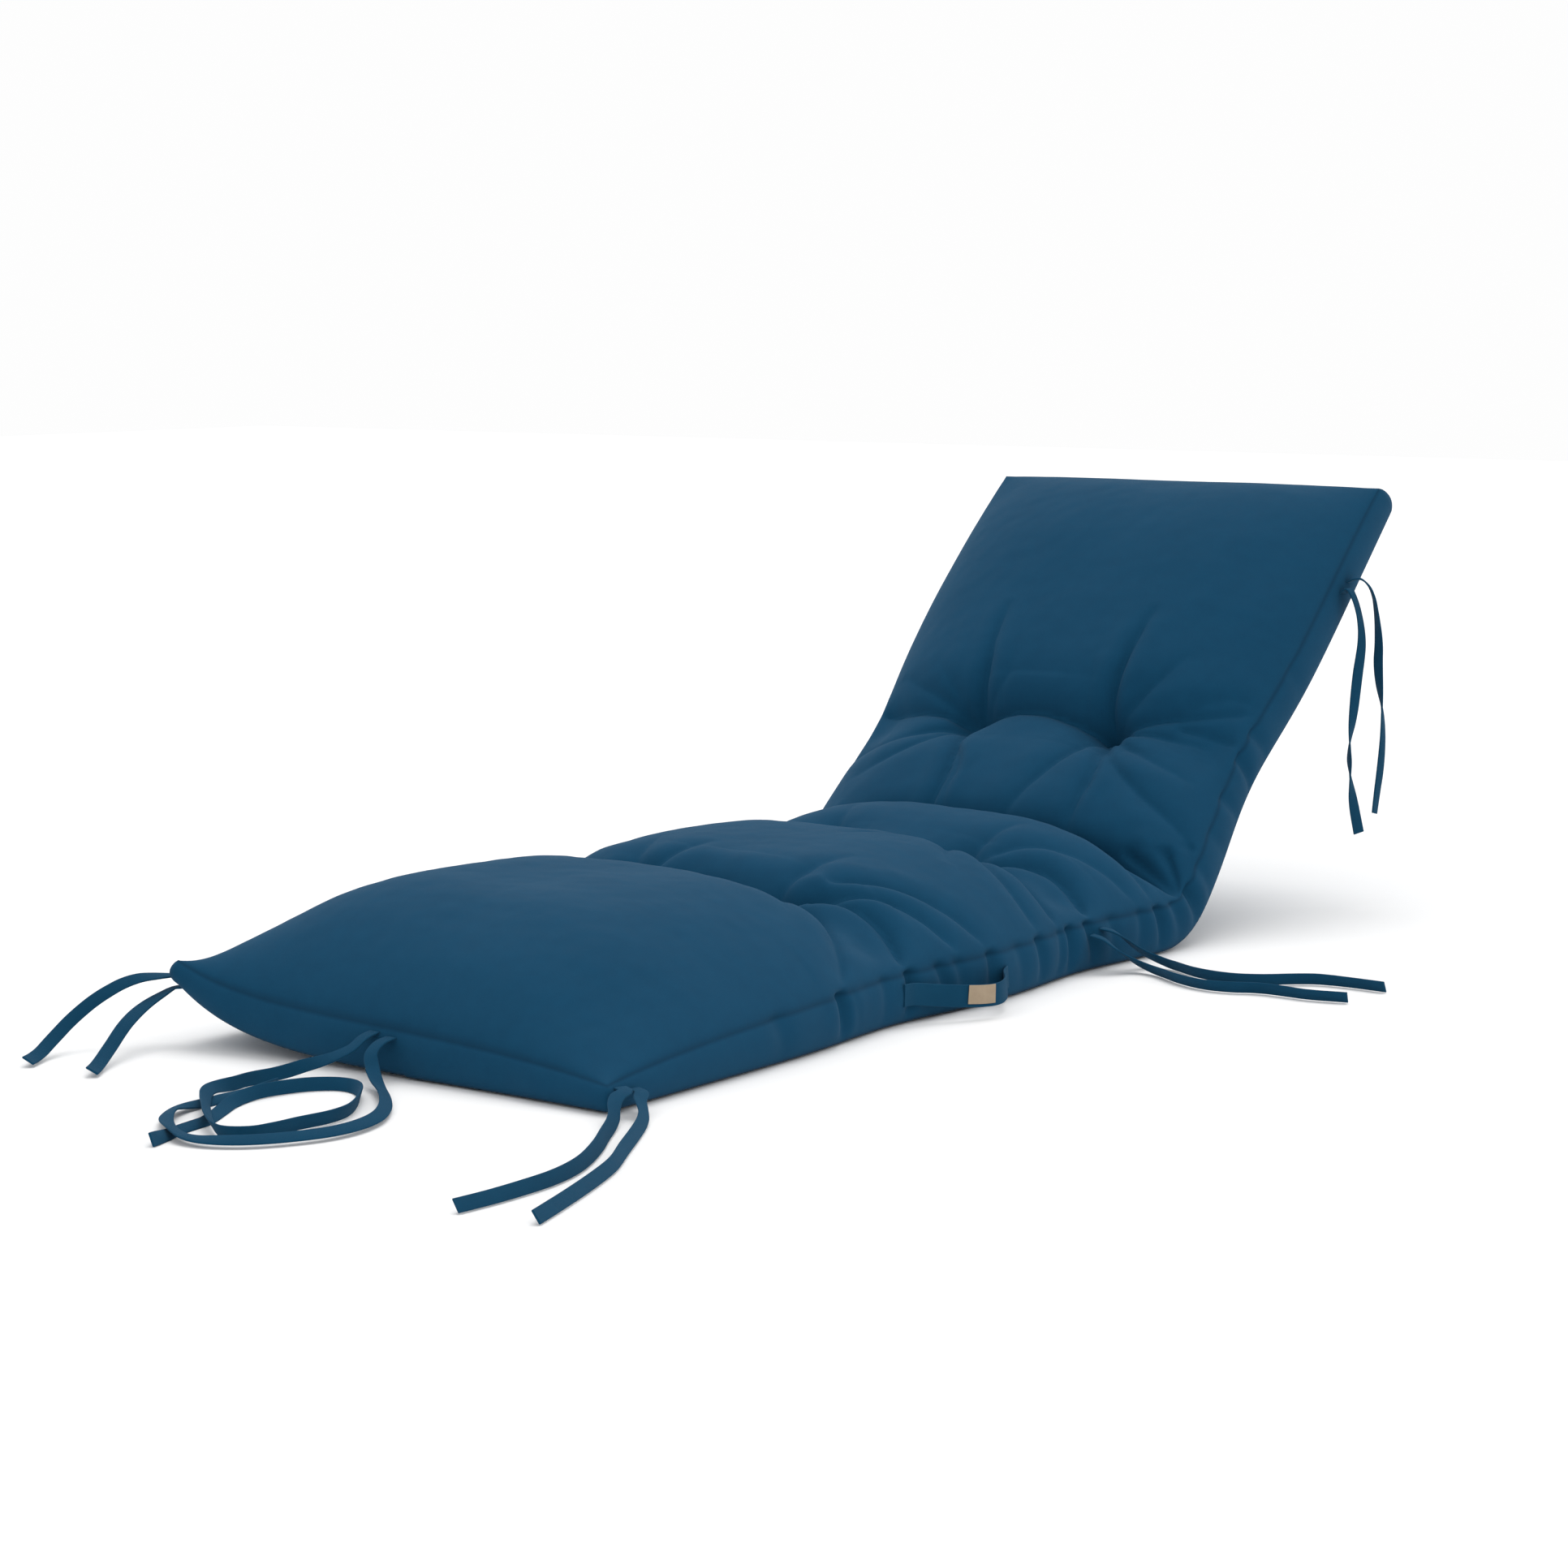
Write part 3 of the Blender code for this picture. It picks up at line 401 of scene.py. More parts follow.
@dataclass
class CushionForm:
    """Form of the filled cushion: every point of its skin from its share across, length along and level.

    The widths, offsets and reach of a crease's valley and ridges, and of a pucker's ridges, are in its own widths.
    Shares are of its depth, of the rear crown or of the right side's puckers, and all else is in metres.
    """

    tuft_pinch: float = 0.016
    tuft_pinch_radius: float = 0.013
    valley_scale: float = 1.7
    valley_round: float = 0.0012
    valley_width: float = 0.8
    valley_end: float = 0.6
    ridge_share: float = 0.24
    ridge_offset: float = 2.6
    ridge_width: float = 1.8
    crease_reach: float = 4.0
    crease_start: float = 0.12
    crease_fade: float = 0.7
    fold_share: float = 0.35
    seam_width: float = 0.0032
    seam_depth: float = 0.0009
    rim_reach: float = 0.045
    lift_reach: float = 0.28
    least_lift: float = 0.0015
    rear_start: float = 0.16
    rear_row_share: float = 0.35
    rear_tuft_share: float = 0.6
    rear_pinch_share: float = 0.3
    pucker_lean: float = 0.010
    pucker_ridge_share: float = 0.2
    pucker_ridge_offset: float = 2.2
    pucker_ridge_width: float = 1.4
    pucker_low_share: float = 0.35
    left_pucker_share: float = 0.6
    lean_phase: float = 37.0
    depth_phase: float = 91.0
    end_wave: float = 0.0012
    end_waves: tuple[Row, ...] = ((62.0, 1.3), (23.0, 0.4))
    spine_steps: int = 400
    spine: Array = field(init=False)

    def __post_init__(self) -> None:
        """Sum the neutral line through the bend once."""
        along = np.linspace(0.0, LENGTH, self.spine_steps + 1)
        middle = (along[1:] + along[:-1]) / 2
        angle = self.bend_angle(middle)
        run = LENGTH / self.spine_steps
        y = np.concatenate(([0.0], np.cumsum(np.cos(angle) * run)))
        z = np.concatenate(([0.0], np.cumsum(np.sin(angle) * run)))
        self.spine = np.stack((along, y, z + NEUTRAL_HEIGHT))

    @staticmethod
    def bend_angle(along: Array) -> Array:
        """Slope of the cushion: level in the seat, BACK_ANGLE in the back."""
        return BACK_ANGLE * smooth_step((along - SEAT_LENGTH) / BEND_LENGTH + 0.5)

    def bent(self, across: Array, along: Array, height: Array) -> Array:
        """Bend places of the flat cushion into the seat and the raised back.

        Args:
            across: places across.
            along: places along.
            height: heights above the underside.

        Returns:
            One point for each place.
        """
        angle = self.bend_angle(along)
        inside = np.clip(along, 0.0, LENGTH)
        y = np.interp(inside, self.spine[0], self.spine[1]) + (along - inside) * np.cos(angle)
        z = np.interp(inside, self.spine[0], self.spine[2]) + (along - inside) * np.sin(angle)
        rise = height - NEUTRAL_HEIGHT
        return np.stack((across, y - np.sin(angle) * rise - ORIGIN_ALONG, z + np.cos(angle) * rise), axis=-1)

    @staticmethod
    def half_width(along: Array) -> Array:
        """Half of the width at the seams, drawn in beside each row of tufts."""
        drawn = sum(bell(along - row, DRAW_LENGTH) for row in TUFT_ROWS)
        return HALF_WIDTH - DRAW_IN * np.minimum(drawn, 1.0)

    @staticmethod
    def corner_shape(side_share: Array, along: Array) -> tuple[Array, Array]:
        """Shape the corners.

        Args:
            side_share: share across, from -1 to 1.
            along: length along.

        Returns:
            The pinch of the boxing, and the lift of the underside.
        """
        across = side_share * HALF_WIDTH
        pinch = np.zeros_like(across)
        lift = np.zeros_like(across)
        for side, pinched, pinch_reach, lifted, lift_reach in FOOT_CORNERS:
            distance = np.hypot(across - side * HALF_WIDTH, along)
            pinch += pinched * np.exp(-distance / pinch_reach)
            lift += lifted * np.exp(-distance / lift_reach)
        for side in (-1.0, 1.0):
            distance = np.hypot(across - side * HALF_WIDTH, LENGTH - along)
            pinch += HEAD_PINCH * np.exp(-distance / HEAD_PINCH_REACH)
        return pinch, lift

    @staticmethod
    def panel_rise(side_share: Array, along: Array) -> Array:
        """Share of the full crown: 0 on the seams, 1 in the middle of the panels."""
        side = pillow((1.0 - np.abs(side_share)) * HALF_WIDTH, SIDE_REACH)
        return side * pillow(along, END_REACH) * pillow(LENGTH - along, END_REACH)

    @staticmethod
    def edge_distance(side_share: Array, along: Array) -> Array:
        """Distance of places on a panel from its nearest seam."""
        return np.minimum(np.minimum((1.0 - np.abs(side_share)) * HALF_WIDTH, along), LENGTH - along)

    def crease_depth(self, across: Array, along: Array) -> Array:
        """Sink the tufts and the creases, with the soft ridges beside each crease.

        Args:
            across: places across.
            along: places along.

        Returns:
            The depth at each place.
        """
        depth = np.zeros_like(across)
        for row in TUFT_ROWS:
            for side in (-1.0, 1.0):
                radius = np.hypot(across - side * TUFT_ACROSS, along - row)
                depth += TUFT_DEPTH * np.exp(-radius / TUFT_RADIUS)
                depth += self.tuft_pinch * np.exp(-radius / self.tuft_pinch_radius)
        for crease in CREASES:
            line = rounded(crease.line)
            xs, ys = [p[0] for p in line], [p[1] for p in line]
            margin = crease.width * self.crease_reach
            near = ((across > min(xs) - margin) & (across < max(xs) + margin)
                    & (along > min(ys) - margin) & (along < max(ys) + margin))
            gap, share = line_distance(across[near], along[near], line)
            start = np.minimum(share / self.crease_start, 1.0) ** 0.5
            fade = start * (crease.tail + (1.0 - crease.tail) * (1.0 - share) ** self.crease_fade)
            bottom = np.sqrt(gap ** 2 + self.valley_round ** 2)
            valley = np.exp(-bottom / (self.valley_width * crease.width)) * self.valley_scale
            ridges = bell(np.abs(gap) - self.ridge_offset * crease.width, self.ridge_width * crease.width)
            end = 1.0
            if crease.tail == 0.0:
                end = np.where(share >= 1.0, bell(gap, crease.width * self.valley_end), 1.0)
            depth[near] += crease.depth * fade * (valley - self.ridge_share * ridges) * end
        return depth

    def front_height(self, side_share: Array, along: Array, detail: bool) -> Array:
        """Raise the front panel above the underside's plane.

        Args:
            side_share: share across, from -1 to 1.
            along: length along.
            detail: whether the creases and the seam's groove are cut in.

        Returns:
            The height at each place.
        """
        pinch, lift = self.corner_shape(side_share, along)
        left = LEFT_RISE * np.maximum(-side_share, 0.0) * smooth_step(along / LEFT_RISE_REACH)
        left = left * smooth_step((SEAT_LENGTH - along) / 0.20)
        seam = BOXING_LOW + BOXING_HEIGHT + left - pinch + lift
        gap = np.abs(along - SEAT_LENGTH)
        fold = np.where(along < SEAT_LENGTH, pillow(gap, FOLD_REACH_SEAT), pillow(gap, FOLD_REACH_BACK))
        rise = self.panel_rise(side_share, along)
        crown = table_values(CROWN, along) * rise * fold
        rows = sum(bell(along - row, ROW_WIDTH) for row in TUFT_ROWS) * ROW_DEPTH
        ease = smooth_step(rise * 2.0) * fold
        height = seam + crown - rows * ease
        if detail:
            across = side_share * self.half_width(along)
            soft = smooth_step(rise * 3.2) * (self.fold_share + (1.0 - self.fold_share) * fold)
            height = height - self.crease_depth(across, along) * soft
            height = height - self.seam_depth * bell(self.edge_distance(side_share, along), self.seam_width)
        return height

    def rear_height(self, side_share: Array, along: Array) -> Array:
        """Shape the rear panel: flat under the seat, crowned behind the back.

        Args:
            side_share: share across, from -1 to 1.
            along: length along.

        Returns:
            The height at each place.
        """
        _, lift = self.corner_shape(side_share, along)
        edge = self.edge_distance(side_share, along)
        rim = BOXING_LOW * (1.0 - smooth_step(edge / self.rim_reach))
        lift = np.where(lift < self.least_lift, 0.0, lift)
        flat = rim + lift * (1.0 - smooth_step(edge / self.lift_reach))
        back = smooth_step((along - SEAT_LENGTH) / self.rear_start)
        across = side_share * self.half_width(along)
        rows = bell(along - TUFT_ROWS[-1], ROW_WIDTH)
        dimple = np.zeros_like(across)
        for side in (-1.0, 1.0):
            radius = np.hypot(across - side * TUFT_ACROSS, along - TUFT_ROWS[-1])
            dimple += self.rear_tuft_share * REAR_CROWN * np.exp(-radius / TUFT_RADIUS)
            dimple += self.rear_pinch_share * REAR_CROWN * np.exp(-radius / self.tuft_pinch_radius)
        rise = self.panel_rise(side_share, along)
        return flat - back * rise * (REAR_CROWN - self.rear_row_share * REAR_CROWN * rows - dimple)

    def skin(self, side_share: Array, along: Array, level: Array, detail: bool = True) -> Array:
        """Points of the skin: level 0 is the rear panel, 1 the front panel, between is the boxing.

        Args:
            side_share: share across, from -1 on the left seam to 1 on the right.
            along: length along the cushion from its foot end.
            level: 0 to 1 up the boxing.
            detail: whether the creases, puckers and seams are cut in.

        Returns:
            One point for each set of values.
        """
        low = self.rear_height(side_share, along)
        high = self.front_height(side_share, along, detail)
        wall = 4.0 * level * (1.0 - level)
        on_side = (np.abs(side_share) > ON_SEAM).astype(float)
        on_foot = (along < ON_END).astype(float)
        on_head = (along > LENGTH - ON_END).astype(float)
        across = side_share * (self.half_width(along) + BOXING_BULGE * wall * on_side)
        ends = END_DRAW_IN * (1.0 - side_share ** 2)
        near_foot = 1.0 - np.clip(along / END_REACH, 0.0, 1.0)
        near_head = 1.0 - np.clip((LENGTH - along) / END_REACH, 0.0, 1.0)
        foot = (ends - BOXING_BULGE * wall * on_foot) * near_foot
        head = (ends - BOXING_BULGE * wall * on_head) * near_head
        reach = along + foot - head
        if detail:
            drawn = self.pucker(side_share, along, level) * on_side
            across = across - np.sign(side_share) * drawn
            pulled = self.end_pucker(side_share, level)
            reach = reach + pulled * on_foot - pulled * on_head
        return self.bent(across, reach, low + (high - low) * level)

    def boxing_seams(self, level: Array) -> Array:
        """Depth of the grooves along the boxing's upper and lower seams."""
        return self.seam_depth * (bell((1.0 - level) * BOXING_HEIGHT, self.seam_width)
                                  + bell(level * BOXING_HEIGHT, self.seam_width))

    def pucker(self, side_share: Array, along: Array, level: Array) -> Array:
        """Draw the boxing of the long sides in.

        Args:
            side_share: share across, from -1 to 1.
            along: length along.
            level: 0 to 1 up the boxing.

        Returns:
            How far its puckers and its two seams draw it in.
        """
        depth = np.zeros_like(along)
        for place, deep, width in PUCKERS:
            gap = along - place - self.pucker_lean * (level - 0.5) * math.sin(place * self.lean_phase)
            scale = np.where(side_share > 0.0, 1.0, self.left_pucker_share)
            scale = scale * (0.8 + 0.4 * math.sin(place * self.depth_phase))
            ridges = bell(np.abs(gap) - self.pucker_ridge_offset * width, self.pucker_ridge_width * width)
            depth += scale * deep * (bell(gap, width) - self.pucker_ridge_share * ridges)
        profile = self.pucker_low_share + (1.0 - self.pucker_low_share) * smooth_step(level * 1.2)
        return depth * profile * smooth_step(level * 4.0) + self.boxing_seams(level)

    def end_pucker(self, side_share: Array, level: Array) -> Array:
        """Draw the boxing of the ends in.

        Args:
            side_share: share across, from -1 to 1.
            level: 0 to 1 up the boxing.

        Returns:
            How far its small waves and its two seams draw it in.
        """
        waves = self.end_wave * np.sin(math.pi * level)
        for turns, phase in self.end_waves:
            waves = waves * np.sin(side_share * HALF_WIDTH * turns + phase)
        return waves + self.boxing_seams(level)


class Lay(Enum):
    """How a tie lies."""

    LOOSE = "loose"
    HANGING = "hanging"


@dataclass(frozen=True)
class Value:
    """A socket of a shader tree, with the usual operators."""

    tree: "Shader"
    socket: bpy.types.NodeSocket

    def _with(self, operation: str, other: "Value | float", swap: bool = False) -> "Value":
        """Join this value and another by a maths node.

        Args:
            operation: Blender's name of the operation.
            other: the other value.
            swap: whether the other value comes first.

        Returns:
            The result.
        """
        pair = (other, self) if swap else (self, other)
        return self.tree.node("ShaderNodeMath", {0: pair[0], 1: pair[1]}, operation=operation)

    def __add__(self, other: "Value | float") -> "Value":
        """Sum."""
        return self._with("ADD", other)

    def __radd__(self, other: "Value | float") -> "Value":
        """Sum, the other way round."""
        return self._with("ADD", other, True)

    def __sub__(self, other: "Value | float") -> "Value":
        """Difference."""
        return self._with("SUBTRACT", other)

    def __rsub__(self, other: "Value | float") -> "Value":
        """Difference, the other way round."""
        return self._with("SUBTRACT", other, True)

    def __mul__(self, other: "Value | float") -> "Value":
        """Product."""
        return self._with("MULTIPLY", other)

    def __rmul__(self, other: "Value | float") -> "Value":
        """Product, the other way round."""
        return self._with("MULTIPLY", other, True)

    def sine(self) -> "Value":
        """Sine of the value."""
        return self.tree.node("ShaderNodeMath", {0: self}, operation="SINE")


class Shader:
    """A material built node by node round one Principled shader."""

    def __init__(self, name: str, colour: Colour, roughness: float) -> None:
        """Start a material.

        Args:
            name: the material's name.
            colour: linear base colour.
            roughness: its roughness.
        """
        self.material = bpy.data.materials.new(name)
        self.material.use_nodes = True
        self.nodes = self.material.node_tree.nodes
        self.links = self.material.node_tree.links
        self.principled = self.nodes["Principled BSDF"]
        self.set("Base Color", (*colour, 1.0))
        self.set("Roughness", roughness)
        self.material.diffuse_color = (*colour, 1.0)

    def set(self, name: str, value: "Value | float | tuple[float, ...]") -> None:
        """Set or link one input of the Principled shader.

        Args:
            name: the input's name.
            value: a value to link, or a plain one to set.
        """
        if isinstance(value, Value):
            self.links.new(value.socket, self.principled.inputs[name])
        else:
            self.principled.inputs[name].default_value = value

    def node(self, kind: str, inputs: dict[int | str, object], output: int | str = 0,
             **settings: object) -> Value:
        """Make a node, set its inputs and return one output.

        Args:
            kind: Blender's name of the node type.
            inputs: input name or number, to a value or a plain number.
            output: which output to return.
            settings: properties of the node.

        Returns:
            The output, wrapped.
        """
        node = self.nodes.new(kind)
        for name, setting in settings.items():
            setattr(node, name, setting)
        for name, value in inputs.items():
            if isinstance(value, Value):
                self.links.new(value.socket, node.inputs[name])
            else:
                node.inputs[name].default_value = value
        return Value(self, node.outputs[output])

    def cloud(self, place: Value, scale: float, detail: float, roughness: float = 0.5) -> Value:
        """Cloudy noise at a place, from 0 to 1."""
        return self.node("ShaderNodeTexNoise", {"Vector": place, "Scale": scale, "Detail": detail,
                                                "Roughness": roughness}, "Fac")

    def attribute(self, name: str) -> Value:
        """A value kept on the mesh's points."""
        return self.node("ShaderNodeAttribute", {}, "Fac", attribute_name=name)

    def blended(self, share: Value, low: Value | Colour, high: Colour) -> Value:
        """Colour between two colours, by the colour sockets of a Mix node."""
        first = low if isinstance(low, Value) else (*low, 1.0)
        return self.node("ShaderNodeMix", {0: share, 6: first, 7: (*high, 1.0)}, 2, data_type="RGBA")

    def bump(self, height: Value, strength: float, distance: float) -> None:
        """Raise the surface's light by a height."""
        self.set("Normal", self.node("ShaderNodeBump", {"Height": height, "Strength": strength,
                                                        "Distance": distance}, "Normal"))


@dataclass(frozen=True)
class ClothFinish:
    """Woven cloth: its darker and lighter tone, the tone of its seams, thread pitch, sheen and relief."""

    name: str
    dark: Colour
    light: Colour
    shade: Colour
    pitch: float
    roughness: float
    relief: float
    sheen: float = 0.06
    sheen_roughness: float = 0.45
    sheen_tint: Colour = (0.45, 0.72, 1.0)
    specular: float = 0.10
    slub_scale: float = 900.0
    mottle_scale: float = 55.0
    broad_scale: float = 7.0
    bump_strength: float = 0.35
    bump_distance: float = 0.0006

    def make(self) -> bpy.types.Material:
        """Build heathered threads, a fine weave and darker seams.

        Returns:
            The material.
        """
        tree = Shader(self.name, self.light, self.roughness)
        flat = tree.node("ShaderNodeUVMap", {}, "UV")
        solid = tree.node("ShaderNodeTexCoord", {}, "Object")
        across = tree.node("ShaderNodeSeparateXYZ", {"Vector": flat}, "X")
        along = tree.node("ShaderNodeSeparateXYZ", {"Vector": flat}, "Y")
        turn = 2 * math.pi / self.pitch
        weave = (across * turn).sine() * (along * turn).sine() * 0.5 + 0.5
        slub = tree.cloud(solid, self.slub_scale, 2.0, 0.6)
        mottled = tree.cloud(solid, self.mottle_scale, 5.0, 0.65)
        broad = tree.cloud(solid, self.broad_scale, 3.0)
        share = slub * 0.35 + mottled * 0.45 + broad * 0.35 - 0.08
        tone = tree.blended(share, self.dark, self.light)
        tree.set("Base Color", tree.blended(tree.attribute("seam"), tone, self.shade))
        tree.set("Roughness", self.roughness + (mottled - 0.5) * 0.12)
        tree.set("Sheen Weight", self.sheen)
        tree.set("Sheen Roughness", self.sheen_roughness)
        tree.set("Sheen Tint", (*self.sheen_tint, 1.0))
        tree.set("Specular IOR Level", self.specular)
        tree.bump(weave * 0.5 + slub * 0.5 + mottled * self.relief, self.bump_strength, self.bump_distance)
        return tree.material


@dataclass(frozen=True)
class PatchFinish:
    """Tan patch with a fine grain: its tones, roughness and scales."""

    name: str = "tag_tan"
    base: Colour = (0.33, 0.25, 0.17)
    dark: Colour = (0.27, 0.20, 0.13)
    light: Colour = (0.40, 0.31, 0.21)
    roughness: float = 0.62
    grain_scale: float = 700.0
    blotch_scale: float = 90.0
    bump_strength: float = 0.3
    bump_distance: float = 0.0003

    def make(self) -> bpy.types.Material:
        """Build the blotched tan and its grain.

        Returns:
            The material.
        """
        tree = Shader(self.name, self.base, self.roughness)
        place = tree.node("ShaderNodeTexCoord", {}, "Object")
        grain = tree.cloud(place, self.grain_scale, 3.0)
        blotch = tree.cloud(place, self.blotch_scale, 3.0)
        tree.set("Base Color", tree.blended(blotch * 0.8 + grain * 0.3 - 0.1, self.dark, self.light))
        tree.bump(grain, self.bump_strength, self.bump_distance)
        return tree.material


CLOTH = ClothFinish(
    name="cloth_blue", dark=(0.0016, 0.037, 0.082), light=(0.0062, 0.062, 0.128), shade=(0.001, 0.014, 0.034),
    pitch=0.0016, roughness=0.90, relief=0.8)
TAPE = ClothFinish(
    name="tape_blue", dark=(0.0016, 0.037, 0.080), light=(0.0060, 0.060, 0.120), shade=(0.001, 0.014, 0.034),
    pitch=0.0014, roughness=0.88, relief=0.5)


def new_piece(name: str, mesh: bpy.types.Mesh, material: bpy.types.Material) -> bpy.types.Object:
    """Put a finished mesh in the scene.

    Args:
        name: the piece's name.
        mesh: its mesh, in its place.
        material: its only material.

    Returns:
        The piece.
    """
    mesh.materials.append(material)
    piece = bpy.data.objects.new(name, mesh)
    bpy.context.scene.collection.objects.link(piece)
    LOG.info("%s: %d faces", name, len(mesh.polygons))
    return piece


def set_attribute(mesh: bpy.types.Mesh, name: str, values: Array) -> None:
    """Keep one value for each point of a mesh."""
    mesh.attributes.new(name, "FLOAT", "POINT").data.foreach_set("value", values.astype(np.float32))


@dataclass
class CushionCover:
    """The filled cushion's cover: front panel, boxing and rear panel as one closed cloth skin."""

    form: CushionForm
    across_faces: int = 156
    along_faces: int = 490
    boxing_faces: int = 12
    across_crowding: float = 0.5
    along_crowding: float = 0.2
    wave_scale: float = 11.0
    wave_height: float = 0.0022
    wave_offset: Row = (3.0, 1.0, 7.0)
    fine_wave_scale: float = 42.0
    fine_wave_height: float = 0.0006
    flat_edge: float = 0.002
    wave_reach: float = 0.05
    seam_line: float = 0.0014
    seam_tone: float = 0.42
    fill: float = 0.8

    @staticmethod
    def crowded(value: Array, share: float) -> Array:
        """Move evenly spaced lines from -1 to 1 so that they crowd near both ends."""
        return value + share * np.sin(math.pi * value) / math.pi * np.abs(value) ** 2

    def block(self) -> bmesh.types.BMesh:
        """Join two panels by the divided boxing.

        Returns:
            A closed block of faces.
        """
        mesh = bmesh.new()
        bmesh.ops.create_grid(mesh, x_segments=self.across_faces, y_segments=self.along_faces, size=1.0)
        lifted = bmesh.ops.extrude_face_region(mesh, geom=mesh.faces[:], use_keep_orig=True)
        top = [item for item in lifted["geom"] if isinstance(item, bmesh.types.BMVert)]
        bmesh.ops.translate(mesh, verts=top, vec=(0.0, 0.0, 1.0))
        upright = [e for e in mesh.edges if abs(e.verts[0].co.z - e.verts[1].co.z) > 0.5]
        bmesh.ops.subdivide_edges(mesh, edges=upright, cuts=self.boxing_faces - 1, use_grid_fill=True)
        return mesh

    def build(self) -> bpy.types.Object:
        """Shape the block and dress it.

        Returns:
            The piece.
        """
        mesh = self.block()
        mesh.verts.ensure_lookup_table()
        place = np.array([vertex.co[:] for vertex in mesh.verts])
        side = np.clip(self.crowded(place[:, 0], self.across_crowding), -1.0, 1.0)
        along = np.clip((self.crowded(place[:, 1], self.along_crowding) + 1.0) * LENGTH / 2, 0.0, LENGTH)
        level = np.clip(place[:, 2], 0.0, 1.0)
        points = self.form.skin(side, along, level)
        for vertex, point in zip(mesh.verts, points):
            vertex.co = point
        self.undulate(mesh, side, along, level)
        self.unwrap(mesh, side, along, level)
        for vertex in mesh.verts:
            if vertex.co.z < ON_FLOOR:
                vertex.co.z = 0.0
        bmesh.ops.recalc_face_normals(mesh, faces=mesh.faces)
        data = bpy.data.meshes.new("cushion_cover")
        mesh.to_mesh(data)
        mesh.free()
        data.shade_smooth()
        wall = np.minimum(level, 1.0 - level) * BOXING_HEIGHT
        gap = np.where((level > 0.0) & (level < 1.0), wall, self.form.edge_distance(side, along))
        set_attribute(data, "seam", self.seam_tone * bell(gap, self.seam_line))
        piece = new_piece("cushion_cover", data, CLOTH.make())
        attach(piece, "root")
        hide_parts("cushion")
        return piece

    def undulate(self, mesh: bmesh.types.BMesh, side: Array, along: Array, level: Array) -> None:
        """Add the soft uneven waves of filled cloth to the front panel, none at its seams.

        Args:
            mesh: the shaped block.
            side: share across of each of its points.
            along: length along of each.
            level: level up the boxing of each.
        """
        mesh.normal_update()
        edges = self.form.edge_distance(side, along)
        for index, vertex in enumerate(mesh.verts):
            if level[index] < 1.0 or edges[index] < self.flat_edge:
                continue
            ease = min(edges[index] / self.wave_reach, 1.0)
            point = vertex.co
            wave = noise.noise(point * self.wave_scale + Vector(self.wave_offset)) * self.wave_height
            wave += noise.noise(point * self.fine_wave_scale) * self.fine_wave_height
            vertex.co += vertex.normal * (wave * ease)

    def unwrap(self, mesh: bmesh.types.BMesh, side: Array, along: Array, level: Array) -> None:
        """Lay the cloth's own flat measure, in metres, into the UV map.

        Args:
            mesh: the shaped block.
            side: share across of each of its points.
            along: length along of each.
            level: level up the boxing of each.
        """
        layer = mesh.loops.layers.uv.new("UVMap")
        mesh.verts.index_update()
        for face in mesh.faces:
            on_side = all(abs(side[vertex.index]) > ON_SEAM for vertex in face.verts)
            for loop in face.loops:
                index = loop.vert.index
                up = level[index] * BOXING_HEIGHT
                across = side[index] * HALF_WIDTH
                flat = abs(face.normal.z) > 0.5 or level[index] in (0.0, 1.0)
                if on_side:
                    loop[layer].uv = (up, along[index])
                else:
                    loop[layer].uv = (across, along[index] + (0.0 if flat else up))


def smoothed(route: list[Array] | Array, parts: int) -> Array:
    """Draw the smooth curve through a route's points.

    Args:
        route: the points, each with its lean.
        parts: how many parts each stretch is divided into.

    Returns:
        The points of the curve, the ends kept.
    """
    rows = [route[0] * 2 - route[1], *route, route[-1] * 2 - route[-2]]
    fine = []
    for before, start, end, after in zip(rows, rows[1:], rows[2:], rows[3:]):
        for index in range(parts):
            t = index / parts
            fine.append(0.5 * (2 * start + (end - before) * t
                               + (2 * before - 5 * start + 4 * end - after) * t ** 2
                               + (3 * start - before - 3 * end + after) * t ** 3))
    fine.append(route[-1])
    return np.array(fine)


def smooth_route(rows: list[Array], step: float) -> Array:
    """Space points evenly on the smooth curve through a route's own points, each with its lean.

    Args:
        rows: points with their lean as a fourth number.
        step: about how far apart the points are.

    Returns:
        The points, one row each.
    """
    points = smoothed(rows, ROUTE_PARTS)
    lengths = np.concatenate(([0.0], np.cumsum(np.linalg.norm(np.diff(points[:, :3], axis=0), axis=1))))
    count = max(2, round(lengths[-1] / step))
    target = np.linspace(0.0, lengths[-1], count + 1)
    return np.stack([np.interp(target, lengths, points[:, axis]) for axis in range(4)], axis=-1)


def laid(route: Array) -> Array:
    """Raise the points of a route whose tape would reach below the floor.

    Args:
        route: the points, each with its lean.

    Returns:
        The same points, raised where needed.
    """
    half = (TAPE_WIDTH - TAPE_THICKNESS) / 2 * np.abs(np.cos(route[:, 3])) + TAPE_THICKNESS / 2
    route[:, 2] = np.maximum(route[:, 2], half + LAID_GAPS * CLEARANCE)
    return route


